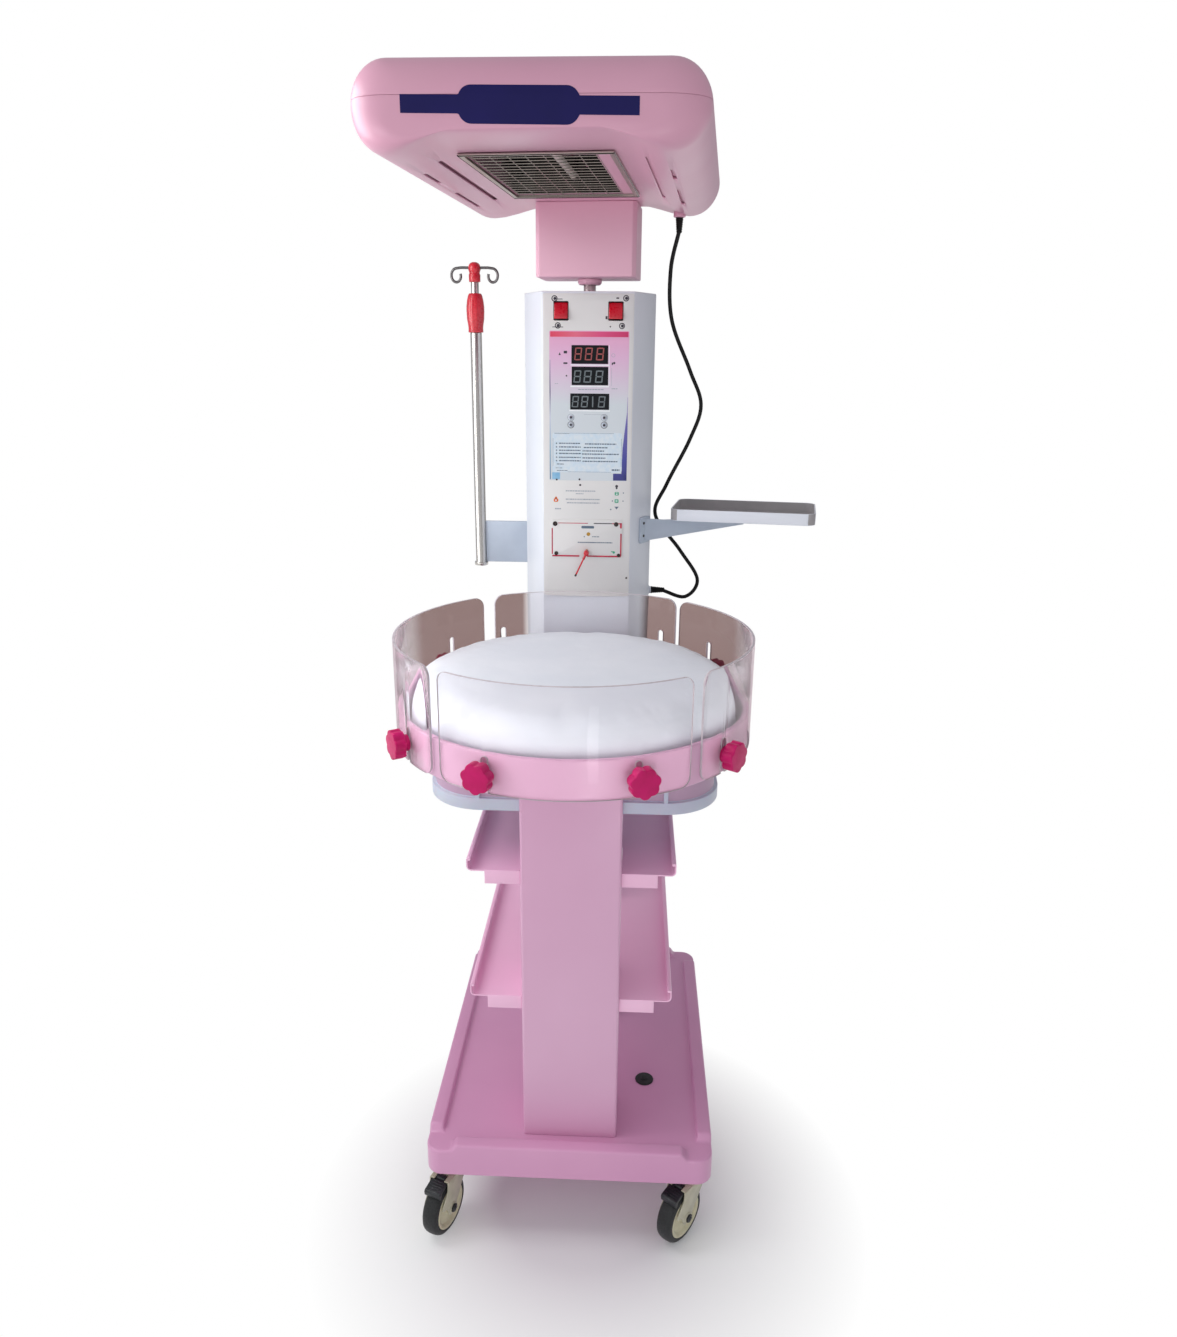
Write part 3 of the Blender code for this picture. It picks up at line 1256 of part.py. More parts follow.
def build_tray(frame):
    """A small tray that swivels on a bolt at the end of a tapered arm."""
    swivel = pivot("tray_swivel", (TRAY_X, TRAY_Y, 0), TRAY_TURN, frame)
    half_x = TRAY_LONG / 2
    half_y = TRAY_DEEP / 2
    tray = block("side_tray", (-half_x, -half_y, TRAY_LOW), (half_x, half_y, TRAY_HIGH), swivel,
                 round_by=TRAY_CORNER, round_steps=4)
    cut(tray, block("side_tray_well", (-half_x + TRAY_SHEET, -half_y + TRAY_SHEET,
                                       TRAY_LOW + TRAY_SHEET),
                    (half_x - TRAY_SHEET, half_y - TRAY_SHEET, TRAY_HIGH + THROUGH), swivel,
                    round_by=TRAY_CORNER - TRAY_SHEET, round_steps=4))
    cut(tray, rod("side_tray_bolt_hole", TRAY_BOLT / 2 + RUN, (0, 0, TRAY_LOW - THROUGH),
                  (0, 0, TRAY_LOW + THROUGH), 14, swivel))
    finish(tray, "white_paint")

    under = TRAY_LOW - GAP
    arm = rod("tray_arm", ARM_PAD, (TRAY_X, TRAY_Y, under - ARM_PAD_THICK), (TRAY_X, TRAY_Y, under),
              20, frame)
    face_from = Vector((MAST_FACE, MAST_FRONT, 0))
    face_to = Vector((MAST_HALF, MAST_FRONT + MAST_CHAMFER, 0))
    along = (face_to - face_from).normalized()
    out = Vector((along.y, -along.x, 0))
    middle = face_from.lerp(face_to, ARM_PLACE_SHARE) + out * (GAP + ARM_SHEET / 2)
    plate = cutout("tray_arm_plate", rounded_outline(ARM_PLATE_WIDE / 2, ARM_LOW, ARM_HIGH,
                                                     ARM_SHEET, 2), ARM_SHEET,
                   (middle.x, middle.y, 0), (math.radians(90), 0, math.atan2(along.y, along.x)),
                   frame)
    goal = Vector((TRAY_X, TRAY_Y, 0))
    reach = goal - middle
    outline = (
        (ARM_SHEET * 0.2, ARM_LOW + ARM_SHEET),
        (reach.length, under - ARM_TIP),
        (reach.length, under - WELD),
        (ARM_PLATE_WIDE, under - WELD),
        (ARM_SHEET * 0.2, ARM_HIGH - ARM_SHEET),
    )
    web = cutout("tray_arm_web", outline, ARM_SHEET, (middle.x, middle.y, 0),
                 (math.radians(90), 0, math.atan2(reach.y, reach.x)), frame)
    bolt = rod("tray_arm_bolt", TRAY_BOLT / 2, (TRAY_X, TRAY_Y, under - ARM_PAD_THICK),
               (TRAY_X, TRAY_Y, TRAY_LOW + TRAY_SHEET + TRAY_BOLT_RISE), 12, frame)
    bolt_head = rod("tray_arm_bolt_head", TRAY_BOLT_HEAD / 2,
                    (TRAY_X, TRAY_Y, TRAY_LOW + TRAY_SHEET + GAP),
                    (TRAY_X, TRAY_Y, TRAY_LOW + TRAY_SHEET + TRAY_BOLT_RISE), 12, frame)
    join(arm, plate, web, bolt, bolt_head)
    finish(arm, "white_paint")


def smooth_path(points, step):
    """Points at an even spacing on a curve through the given points."""
    dense = []
    padded = [points[0] * 2 - points[1], *points, points[-1] * 2 - points[-2]]
    for i in range(1, len(padded) - 2):
        before, start, end, after = padded[i - 1:i + 3]
        for k in range(CORD_DIVISIONS):
            t = k / CORD_DIVISIONS
            dense.append(0.5 * (2 * start + (end - before) * t
                                + (2 * before - 5 * start + 4 * end - after) * t * t
                                + (3 * start - before - 3 * end + after) * t ** 3))
    dense.append(points[-1])
    lengths = [0]
    for first, second in zip(dense, dense[1:]):
        lengths.append(lengths[-1] + (second - first).length)
    count = round(lengths[-1] / step)
    even = []
    for i in range(count + 1):
        target = lengths[-1] * i / count
        k = min(j for j in range(1, len(lengths)) if lengths[j] >= target - WELD)
        share = (target - lengths[k - 1]) / (lengths[k] - lengths[k - 1])
        even.append(dense[k - 1].lerp(dense[k], share))
    return even


def build_cord():
    x, y = CORD_HEAD
    start = Vector((x, y, HEAD_LOBE - GLAND_LONG / 2 - GAP))
    mast_y, mast_z = CORD_MAST
    end = Vector((MAST_X + MAST_HALF + GLAND_LONG + GAP, mast_y, mast_z))
    below = start - Vector((0, 0, GLAND_LONG * 3))
    beside = end + Vector((GLAND_LONG * 3, 0, 0))
    route = [start, below, *[Vector(point) for point in CORD_VIA], beside, end]
    points = smooth_path(route, CORD_STEP)
    finish(wire("head_cord", points, CORD_RADIUS, CORD_SIDES), "black_rubber")
    return sum((b - a).length for a, b in zip(points, points[1:]))


def centre_stand():
    """Move the stand so that its box, without the cord, is centred over the origin."""
    bpy.context.view_layer.update()
    graph = bpy.context.evaluated_depsgraph_get()
    low = Vector((math.inf,) * 3)
    high = -low
    for obj in PARTS.objects:
        if obj.type != "MESH" or obj.name == "head_cord":
            continue
        mesh = obj.evaluated_get(graph).to_mesh()
        for vertex in mesh.vertices:
            place = obj.matrix_world @ vertex.co
            low = Vector(map(min, low, place))
            high = Vector(map(max, high, place))
    STAND.location = (-(low.x + high.x) / 2, -(low.y + high.y) / 2, 0)
    bpy.context.view_layer.update()


clear_scene()
PARTS = collection("infant_radiant_warmer")
CUTTERS = collection("cutters")
STAND = bpy.data.objects.new("stand_origin", None)
PARTS.objects.link(STAND)
STAND_FRAME = pivot("stand_frame", (STAND_X, 0, 0))
MAST_FRAME = pivot("mast_frame", (MAST_X, 0, 0))
build_base(STAND_FRAME)
build_casters(STAND_FRAME)
build_stand(STAND_FRAME, MAST_FRAME)
build_shelf("shelf_lower", SHELF_LOWER, STAND_FRAME)
build_shelf("shelf_upper", SHELF_UPPER, STAND_FRAME)
build_tub(STAND_FRAME)
build_knobs(build_bed())
build_panels()
build_mast(MAST_FRAME)
build_head()
build_pole(MAST_FRAME)
build_tray(MAST_FRAME)
print("head cord length", round(build_cord(), 3))
centre_stand()
CUTTERS.hide_render = True
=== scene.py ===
"""The looks of the infant radiant warmer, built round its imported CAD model.

Metres, +Z up. Lengths are in the maker's frame: X = 0 is the middle plane, Y = 0 the bed's
centre and Z = 0 the floor. BED_PLACE and the places after it carry them to where the CAD stands.
"""
import math

import bmesh
import bpy
from mathutils import Matrix, Vector
from mathutils.bvhtree import BVHTree


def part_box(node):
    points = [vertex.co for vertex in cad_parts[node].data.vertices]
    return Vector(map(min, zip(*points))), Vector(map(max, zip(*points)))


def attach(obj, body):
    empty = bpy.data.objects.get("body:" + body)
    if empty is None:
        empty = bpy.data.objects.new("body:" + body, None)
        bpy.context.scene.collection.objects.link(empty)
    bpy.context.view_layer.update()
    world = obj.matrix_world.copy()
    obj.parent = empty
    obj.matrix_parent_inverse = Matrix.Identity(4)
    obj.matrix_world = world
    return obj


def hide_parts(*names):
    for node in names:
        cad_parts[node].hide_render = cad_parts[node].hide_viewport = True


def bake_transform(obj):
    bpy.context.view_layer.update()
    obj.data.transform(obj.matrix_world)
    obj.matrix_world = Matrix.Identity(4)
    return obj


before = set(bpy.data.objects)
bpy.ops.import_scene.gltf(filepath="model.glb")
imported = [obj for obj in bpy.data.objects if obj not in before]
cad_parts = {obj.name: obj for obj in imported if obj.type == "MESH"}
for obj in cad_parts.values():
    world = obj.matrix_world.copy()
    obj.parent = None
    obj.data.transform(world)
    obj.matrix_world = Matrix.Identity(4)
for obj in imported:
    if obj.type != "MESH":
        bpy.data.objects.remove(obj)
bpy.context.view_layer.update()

# Sizes, nearly all of them as in the part's own source
STAND_X = -0.005
MAST_X = 0.004
HAIR = 0.0003
BASE_HALF, BASE_FRONT, BASE_REAR = 0.246, -0.0366, 0.5888
BASE_UNDER, BASE_DECK, BASE_CORNER, BASE_WALL = 0.130, 0.1778, 0.028, 0.003
RAIL_HIGH, RAIL_WIDE, RAIL_END, RAIL_SLANT = 0.012, 0.025, 0.0165, 0.008
GROMMET = (0.131, 0.160)
CASTER_IN_X, CASTER_IN_Y, TRAIL = 0.036, 0.042, 0.028
CASTER_TURNS = {"front_left": -112, "front_right": -128, "rear_left": -90, "rear_right": -90}
WHEEL, WHEEL_HALF, HUB, HUB_HALF = 0.050, 0.0150, 0.0385, 0.0158
FORK_IN, FORK_SHEET, CROWN, CROWN_LOW, CROWN_HIGH = 0.0168, 0.0026, 0.024, 0.1035, 0.1105
PEDAL_X, PEDAL_Z, PEDAL_DROOP = 0.030, 0.1068, math.radians(12)
PEDESTAL_HALF, PEDESTAL_FRONT, PEDESTAL_REAR = 0.081, 0.0102, 0.1102
POST_HALF, POST_FRONT, POST_REAR, POST_TOP = 0.060, 0.335, 0.425, 1.500
SHELF_HALF, SHELF_FRONT, SHELF_REAR, SHELF_LEVELS = 0.168, 0.018, 0.470, (0.454, 0.688)
SHEET, SHELF_RIM, SHELF_ROLL, APRON_HALF, APRON = 0.002, 0.020, 0.007, 0.139, 0.024
TUB_HALF, TUB_FRONT, TUB_REAR, TUB_FLOOR, TUB_TOP = 0.235, 0.022, 0.470, 0.791, 0.930
TUB_BAND, TUB_CORNER, TUB_STEP, TUB_WALL = 0.020, 0.090, 0.006, 0.003
STRUT_X, STRUT_HALF = 0.1480, 0.0035
PAN, PAN_LOW, PAN_HIGH, PAN_WALL, PAN_FLOOR = 0.257, 0.939, 0.996, 0.008, 0.004
PAD, PAD_CROWN, PAD_SWELL = 0.2455, 1.040, 0.0025
PANEL_IN, PANEL_SHEET, PANEL_LOW, PANEL_HIGH, PANEL_CORNER = 0.2575, 0.0035, 0.941, 1.093, 0.016
PANEL_SPANS = {"front": (0, 39), "right": (92, 49), "rear": (178.5, 35.8), "left": (-92, 49)}
SLOT_HALF, SLOT_ABOVE, SLOT_REAR_ABOVE = 0.0045, 0.022, 0.052
KNOB_Z, KNOB_REAR_Z, KNOB_SEAT = 0.969, 0.985, 0.2615
KNOB_R, KNOB_WAVE, KNOB_THICK = 0.0195, 0.0015, 0.016
KNOB_TURNS = (-22.5, 21.7, 53.5, 126, 149, -149, -126, -57)
MAST_HALF, MAST_FACE, MAST_FRONT, MAST_CHAMFER, MAST_REAR = 0.109, 0.075, 0.291, 0.061, 0.440
MAST_LOW, MAST_TOP, MAST_WALL = 0.9445, 1.575, 0.0025
FASCIA_FACE, FASCIA_HALF, FASCIA_LOW, FASCIA_TOP = 0.2887, 0.0735, 1.075, 1.5715
ROCKER_X, ROCKER_Z, ROCKER_WIDE, ROCKER_TALL = 0.044, 1.545, 0.022, 0.027
BUTTONS = {
    "upper_left": (-0.0275, 1.3795), "upper_right": (0.0275, 1.3795),
    "lower_left": (-0.0275, 1.3675), "lower_right": (0.0275, 1.3675),
}
BUTTON_R = 0.0042
PLATE_FACE, PLATE_HALF, PLATE_LOW, PLATE_HIGH, JACK_Z = 0.2869, 0.0605, 1.1465, 1.2105, 1.155
PIN_Y, PIN_R, PIN_FLANGE, NECK_LOW = 0.335, 0.011, 0.0195, 1.5955
NECK_HALF, NECK_FRONT, NECK_REAR = 0.080, 0.280, 0.376
HEAD_TURN = math.radians(-5.4)
HEAD_HALF, HEAD_FRONT, HEAD_REAR = 0.2035, -0.538, 0.035
HEAD_UNDER, HEAD_LOBE, HEAD_TOP, HEAD_SEAM = 1.705, 1.689, 1.785, 1.742
HEAD_LOBE_X, HEAD_SHEET = 0.160, 0.003
HEAD_ROUND = {"x": 0.050, "y": 0.036, "top": 0.042, "low": 0.014}
VENTS = ((0.126, -0.423, -0.120), (0.154, -0.392, -0.325), (0.154, -0.246, -0.115))
FRAME_LEFT, FRAME_RIGHT, FRAME_FRONT, FRAME_REAR, FRAME_LIP = -0.101, 0.089, -0.436, -0.110, 0.009
POLE_X, POLE_Y, POLE_LOW, POLE_HIGH, POLE_R = -0.202, 0.420, 1.104, 1.514, 0.010
GRIP_TOP, GRIP_R, ROD_R, ROD_HEAD_LOW, ROD_TOP = 1.578, 0.0155, 0.0067, 1.5965, 1.618
HOOK_Z, HOOK_WIRE, HOOK_REACH, HOOK_CURL = 1.6185, 0.0023, 0.031, 0.0098
TRAY_X, TRAY_Y, TRAY_TURN = 0.275, 0.377, math.radians(-9)
TRAY_LONG, TRAY_DEEP, TRAY_LOW, TRAY_HIGH, TRAY_CORNER = 0.247, 0.145, 1.2055, 1.2255, 0.018

# The camera that was solved from the photograph, in millimetres, metres and radians
SENSOR, LENS = 36, 26.615
CAMERA_AT = (0.08040379, -1.39042625, 1.46982985)
CAMERA_YAW, CAMERA_DOWN, CAMERA_ROLL = 0.04248616, 0.30236414, 0.00843039

# The head's cord, point by point as the CAD cord runs
CORD_R = 0.0033
CORD_ROUTE = (
    (0.146, 0.322, 1.6857), (0.146, 0.322, 1.6677), (0.1355, 0.352, 1.612),
    (0.1405, 0.372, 1.535), (0.1745, 0.388, 1.455), (0.1965, 0.395, 1.397),
    (0.1795, 0.398, 1.338), (0.1415, 0.398, 1.260), (0.1225, 0.398, 1.205),
    (0.1690, 0.400, 1.141), (0.2030, 0.400, 1.087), (0.1815, 0.400, 1.054),
    (0.1373, 0.400, 1.066), (0.1193, 0.400, 1.066),
)

BED = (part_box("bed_pan")[0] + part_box("bed_pan")[1]) / 2
BED_PLACE = Matrix.Translation((BED.x, BED.y, 0))
STAND_PLACE = BED_PLACE @ Matrix.Translation((STAND_X, 0, 0))
MAST_PLACE = BED_PLACE @ Matrix.Translation((MAST_X, 0, 0))
HEAD_PLACE = (MAST_PLACE @ Matrix.Translation((0, PIN_Y, 0))
              @ Matrix.Rotation(HEAD_TURN, 4, "Z"))
POLE_PLACE = MAST_PLACE @ Matrix.Translation((POLE_X, POLE_Y, 0))
TRAY_PLACE = (MAST_PLACE @ Matrix.Translation((TRAY_X, TRAY_Y, 0))
              @ Matrix.Rotation(TRAY_TURN, 4, "Z"))


# Shader nodes

def linear(code):
    """An sRGB hex colour as the linear colour that a shader takes."""
    channels = [int(code[i:i + 2], 16) / 255 for i in (1, 3, 5)]
    return (*[c / 12.92 if c <= 0.04045 else ((c + 0.055) / 1.055) ** 2.4 for c in channels], 1)


def node(tree, kind, inputs=None, **settings):
    """Adds a shader node: its settings, then its inputs, each a plain value or a socket."""
    made = tree.nodes.new(kind)
    for name, value in settings.items():
        setattr(made, name, value)
    for name, value in (inputs or {}).items():
        if isinstance(value, bpy.types.NodeSocket):
            tree.links.new(value, made.inputs[name])
        else:
            made.inputs[name].default_value = value
    return made


def surface(name, slot, **sockets):
    """A material whose Principled shader has these plain sockets; slot is not used."""
    material = bpy.data.materials.new(name)
    material.use_nodes = True
    shader = material.node_tree.nodes["Principled BSDF"]
    for socket, value in sockets.items():
        shader.inputs[socket.replace("_", " ")].default_value = value
    return material, material.node_tree, shader


def lumps(tree, size, detail=2, stretch=(1, 1, 1)):
    """Noise from 0 to 1 whose lumps are about size metres across."""
    where = node(tree, "ShaderNodeTexCoord").outputs["Object"]
    where = node(tree, "ShaderNodeMapping", {"Vector": where, "Scale": stretch}).outputs[0]
    return node(tree, "ShaderNodeTexNoise",
                {"Vector": where, "Scale": 1 / size, "Detail": detail}).outputs["Fac"]


def ranged(tree, value, low, high, start=0.35, end=0.65):
    return node(tree, "ShaderNodeMapRange", {"Value": value, "From Min": start, "From Max": end,
                                             "To Min": low, "To Max": high}).outputs["Result"]


def mixed(tree, share, first, second):
    return node(tree, "ShaderNodeMix", {0: share, 6: first, 7: second},
                data_type="RGBA").outputs[2]


def drifting(tree, size, first, second):
    """A colour that drifts to a second one over patches about size metres across."""
    return mixed(tree, ranged(tree, lumps(tree, size, 3), 0, 1), linear(first), linear(second))


def reckoned(tree, operation, first, second=0.0):
    """The result of one Math node."""
    return node(tree, "ShaderNodeMath", {0: first, 1: second}, operation=operation).outputs[0]


def overlaid(tree, share, under, over):
    """One shader with a share of another laid over it."""
    return node(tree, "ShaderNodeMixShader", {0: share, 1: under, 2: over}).outputs[0]


def height(tree, axis="Z"):
    """How far along one axis the point is, in metres."""
    where = node(tree, "ShaderNodeTexCoord").outputs["Object"]
    return node(tree, "ShaderNodeSeparateXYZ", {"Vector": where}).outputs[axis]


def link(tree, shader, **sockets):
    for name, value in sockets.items():
        tree.links.new(value, shader.inputs[name.replace("_", " ")])


def dimpled(tree, shader, value, depth, after=None):
    inputs = {"Height": value, "Distance": depth}
    if after:
        inputs["Normal"] = after
    bump = node(tree, "ShaderNodeBump", inputs).outputs[0]
    link(tree, shader, Normal=bump)
    return bump


def skin(name, slot, colour, second, patch, gloss, grain, depth, **sockets):
    """Paint, moulded plastic or rubber. Its colour drifts to a second one over patches, gloss is
    the range of its roughness over the same patches, and a fine grain dimples it."""
    material, tree, shader = surface(name, slot, **sockets)
    link(tree, shader, Base_Color=drifting(tree, patch, colour, second),
         Roughness=ranged(tree, lumps(tree, patch / 5, 4), *gloss))
    dimpled(tree, shader, lumps(tree, grain, 2), depth)
    return material


# Powder coat on folded sheet: a satin film with an orange peel of about 1.6 mm
PINK = skin("pink_powder_coat", "pink_paint", "#E4B4D1", "#DFADCB", 0.30, (0.30, 0.40), 0.0016,
            0.00002, Coat_Weight=0.2, Coat_Roughness=0.28)
WHITE = skin("white_powder_coat", "white_paint", "#E6EAF2", "#DFE4ED", 0.30, (0.32, 0.42), 0.0016,
             0.00002, Coat_Weight=0.15, Coat_Roughness=0.3)
# Glass-fibre head shells, sprayed: smoother and a little warmer than the powder coat, and a
# little darker than the neck's pink, as painted shade that offsets the lamp lighting the head
HEAD_PINK = skin("sprayed_pink_enamel", "pink_paint", "#E2A9BF", "#DDA2BA", 0.30, (0.34, 0.38),
                 0.004, 0.000004, Coat_Weight=0.15, Coat_Roughness=0.25)
NECK_PINK = skin("pink_coated_neck_sheet", "pink_paint", "#E8B6C9", "#E4B0C4", 0.25, (0.32, 0.40),
                 0.0016, 0.00001)
# The left vents' baffle: the head's pink painted darker, as painted shade inside the vents
VENT_PAINTED_SHADE = skin("pink_painted_vent_shade", "pink_paint", "#B98298", "#AC768C", 0.05, (0.5, 0.6), 0.002,
                 0.00001)
# The base and the shelves wear copies of the pan's pink powder coat: the base's is painted
# deeper, as painted shade on its deck, and the shelves' paler, as painted light where the tub
# shades them
BASE_PINK_PAINTED_SHADE = skin("base_pink_coat_painted_shade", "pink_paint", "#DDA2C6", "#D79BC1", 0.30, (0.32, 0.42),
                 0.0016, 0.00002, Coat_Weight=0.15, Coat_Roughness=0.3)
SHELF_PINK_PAINTED_LIGHT = skin("shelf_pink_coat_painted_light", "pink_paint", "#FFCDE9", "#F9C5E2", 0.30, (0.32, 0.42),
                  0.0016, 0.00002, Coat_Weight=0.15, Coat_Roughness=0.3)
FASCIA_WHITE = skin("warm_white_panel_coat", "white_paint", "#E6E5E3", "#E0DFDE", 0.20,
                    (0.36, 0.46), 0.0010, 0.00001)
# The side tray's inside: a darker grey than its white outside
TRAY_INSIDE_GREY = skin("grey_tray_inside", "white_paint", "#AFABAC", "#A5A2A3", 0.04, (0.55, 0.68),
                   0.0012, 0.00003)
TUB_WHITE = skin("pearl_moulded_plastic", "white_plastic", "#CDD4E0", "#C5C9DA", 0.16,
                 (0.36, 0.46), 0.0009, 0.00001, Subsurface_Weight=0.15, Subsurface_Scale=0.004)
MAGENTA = skin("magenta_moulded_nylon", "magenta_plastic", "#D00A6A", "#C2075E", 0.02,
               (0.36, 0.46), 0.0006, 0.00001, Specular_IOR_Level=0.3)
RED = skin("red_moulded_plastic", "red_plastic", "#CB1229", "#BC0D24", 0.02, (0.24, 0.36), 0.0007,
           0.00001, Coat_Weight=0.3, Coat_Roughness=0.15)
RUBBER = skin("black_tread_rubber", "black_rubber", "#141617", "#1C1E1F", 0.012, (0.55, 0.75),
              0.0007, 0.00003, Sheen_Weight=0.1)
HUB_CREAM = skin("cream_moulded_hub", "cream_plastic", "#D3CDAF", "#C7C1A2", 0.02, (0.40, 0.52),
                 0.0008, 0.00001, Subsurface_Weight=0.05, Subsurface_Scale=0.002)
FORK_CREAM = skin("cream_stove_enamel", "cream_metal", "#C6C2AB", "#B8B49C", 0.02, (0.30, 0.42),
                  0.0012, 0.00002, Coat_Weight=0.2, Coat_Roughness=0.25)
PEDAL_BLACK = skin("black_pedal_plastic", "black_plastic", "#16181C", "#1F2227", 0.012,
                   (0.32, 0.48), 0.0006, 0.00002)
BRACKET_COAT = skin("blue_grey_bracket_coat", "white_paint", "#BFCAD8", "#B6C1D0", 0.05,
                    (0.34, 0.44), 0.0016, 0.00002)
# The tub's wall above its band: pinkish, and painted darker as painted shade under the pan
TUB_SHADE = skin("tub_wall_painted_shade", "white_plastic", "#C3A4BC", "#BC9CB5", 0.16,
                 (0.36, 0.46), 0.0009, 0.00001)
CABLE = skin("black_cable_sheath", "black_rubber", "#050506", "#0B0B0C", 0.05, (0.48, 0.58), 0.003,
             0.000001, Specular_IOR_Level=0.25)
SCREW = skin("dark_plated_screw", "dark_metal", "#4A4340", "#332E2E", 0.003, (0.28, 0.45), 0.0004,
             0.00001, Metallic=0.8)
BUTTON = skin("grey_silicone_key", "button_grey", "#C2C9D4", "#B4BCC8", 0.004, (0.48, 0.6), 0.0005,
              0.00001, Subsurface_Weight=0.1, Subsurface_Scale=0.001)
ROCKER_CASE = skin("black_switch_bezel", "black_plastic", "#1A1013", "#241519", 0.006, (0.3, 0.4),
                   0.0006, 0.00001)


def brushed(name, slot, colour, second, rough, along=(1, 1, 0.03)):
    """Metal whose fine scratches run along one axis."""
    material, tree, shader = surface(name, slot, Metallic=1.0, Anisotropic=0.35)
    lines = lumps(tree, 0.0008, 3, along)
    link(tree, shader, Base_Color=mixed(tree, lines, linear(colour), linear(second)),
         Roughness=ranged(tree, lines, *rough))
    dimpled(tree, shader, lines, 0.000008)
    return material


# Stainless tube drawn along its length, and the duller hooks, grille and reflector's frame
STEEL = brushed("drawn_stainless", "steel", "#CFCCC8", "#BDB9B4", (0.16, 0.24))
HOOK_STEEL = brushed("dark_bent_steel_wire", "steel", "#7B7878", "#625F60", (0.28, 0.4), (1, 1, 1))
GRILLE_WIRE = brushed("plated_grille_wire", "dark_metal", "#A59D95", "#857D76", (0.24, 0.36),
                      (1, 1, 1))
FRAME_METAL = brushed("brushed_frame_sheet", "reflector_metal", "#B9AFA9", "#9C918B",
                      (0.32, 0.46), (1, 0.03, 1))


def make_reflector_metal():
    """Rolled aluminium: soft waves bend what it mirrors, and its colour is dark, in patches more
    than elsewhere."""
    material, tree, shader = surface("bright_rolled_aluminium", "reflector_metal", Metallic=1.0)
    link(tree, shader, Base_Color=drifting(tree, 0.06, "#2E2A28", "#191615"),
         Roughness=ranged(tree, lumps(tree, 0.02, 4), 0.14, 0.30))
    dimpled(tree, shader, lumps(tree, 0.016, 2), 0.0008)
    return material


def make_quartz():
    """A frosted quartz tube with darker bands where the element's coil lies behind it."""
    material, tree, shader = surface("frosted_quartz", "heater_ceramic", Coat_Weight=0.4,
                                     Coat_Roughness=0.1)
    coil = node(tree, "ShaderNodeTexWave", {
        "Vector": node(tree, "ShaderNodeTexCoord").outputs["Object"], "Scale": 90,
        "Distortion": 0.4}, bands_direction="Y").outputs["Fac"]
    link(tree, shader, Base_Color=mixed(tree, coil, linear("#F1EBE4"), linear("#CFC2B6")),
         Roughness=ranged(tree, coil, 0.25, 0.45, 0, 1))
    dimpled(tree, shader, coil, 0.0001)
    return material


def make_pad_cover():
    """Coated cloth over foam: a plain weave of 0.8 mm under a soft film, faintly blue-white."""
    material, tree, shader = surface("coated_white_cloth", "mattress_cloth", Sheen_Weight=0.25,
                                     Sheen_Roughness=0.5, Specular_IOR_Level=0.35)
    where = node(tree, "ShaderNodeTexCoord").outputs["Object"]
    threads = [node(tree, "ShaderNodeTexWave", {"Vector": where, "Scale": 390,
                                                "Distortion": 0.6, "Detail": 1},
                    bands_direction=axis).outputs["Fac"] for axis in "XY"]
    weave = reckoned(tree, "MULTIPLY", *threads)
    link(tree, shader, Base_Color=drifting(tree, 0.09, "#EBEFF6", "#E5EAF2"),
         Roughness=ranged(tree, lumps(tree, 0.03, 3), 0.58, 0.72))
    first = dimpled(tree, shader, lumps(tree, 0.035, 3), 0.0010)
    dimpled(tree, shader, weave, 0.00003, first)
    return material


def make_acrylic(name, clear, reflected_tint, veil, gloss):
    """Acrylic sheet that is clear in front and before the mast; along the rest of the bed's rear
    half it carries a painted reflection, a brown tint. It mirrors the lamps and lets their light
    through to what it stands round.
    veil is the share of its own pale surface haze."""
    material, tree, shader = surface(name, "clear_acrylic", Roughness=gloss, IOR=1.2,
                                     Transmission_Weight=1.0)
    # Painted reflection: the brown tint covers the bed's rear half, but not where the mast stands
    # behind
    rearward = ranged(tree, height(tree, "Y"), 0, 1, BED.y - 0.02, BED.y + 0.09)
    aside = reckoned(tree, "SUBTRACT", height(tree, "X"), BED.x + MAST_X)
    aside = reckoned(tree, "ABSOLUTE", aside)
    share = reckoned(tree, "MULTIPLY", rearward,
                     ranged(tree, aside, 0, 1, MAST_HALF - 0.017, MAST_HALF - 0.003))
    link(tree, shader, Base_Color=mixed(tree, share, linear(clear), linear(reflected_tint)))
    haze = node(tree, "ShaderNodeBsdfDiffuse", {"Color": drifting(tree, 0.08, clear, "#FFFFFF")})
    mix = overlaid(tree, veil, shader.outputs[0], haze.outputs[0])
    grazing = node(tree, "ShaderNodeLayerWeight", {"Blend": 0.5}).outputs["Facing"]
    pale = node(tree, "ShaderNodeBsdfTransparent", {"Color": linear("#E6DDE1")})
    mix = overlaid(tree, ranged(tree, grazing, 0, 0.9, 0.55, 0.9), mix, pale.outputs[0])
    shadow = node(tree, "ShaderNodeLightPath").outputs["Is Shadow Ray"]
    through = node(tree, "ShaderNodeBsdfTransparent", {"Color": linear("#FAFAFA")})
    lit = overlaid(tree, shadow, mix, through.outputs[0])
    tree.links.new(lit, tree.nodes["Material Output"].inputs["Surface"])
    return material


REFLECTOR = make_reflector_metal()
QUARTZ = make_quartz()
PAD_COVER = make_pad_cover()
ACRYLIC_FRONT = make_acrylic("clear_acrylic_sheet", "#FAF8F9", "#FAF8F9", 0.0, 0.02)
# The side and rear sheets carry the painted reflection's brown tint
ACRYLIC_SIDE = make_acrylic("acrylic_sheet_painted_reflection", "#FAF8F9", "#927A77", 0.02, 0.03)
ACRYLIC_EDGE = skin("sawn_acrylic_edge", "clear_acrylic", "#C6BBC2", "#D2C8CE", 0.03, (0.25, 0.4),
                    0.0012, 0.00002)


def printed(name, colour, second=None, **sockets):
    """A satin screen print on film; its ink thins a little over a few millimetres."""
    return skin(name, "white_paint", colour, second or colour, 0.006, (0.38, 0.5), 0.0008,
                0.000006, **sockets)


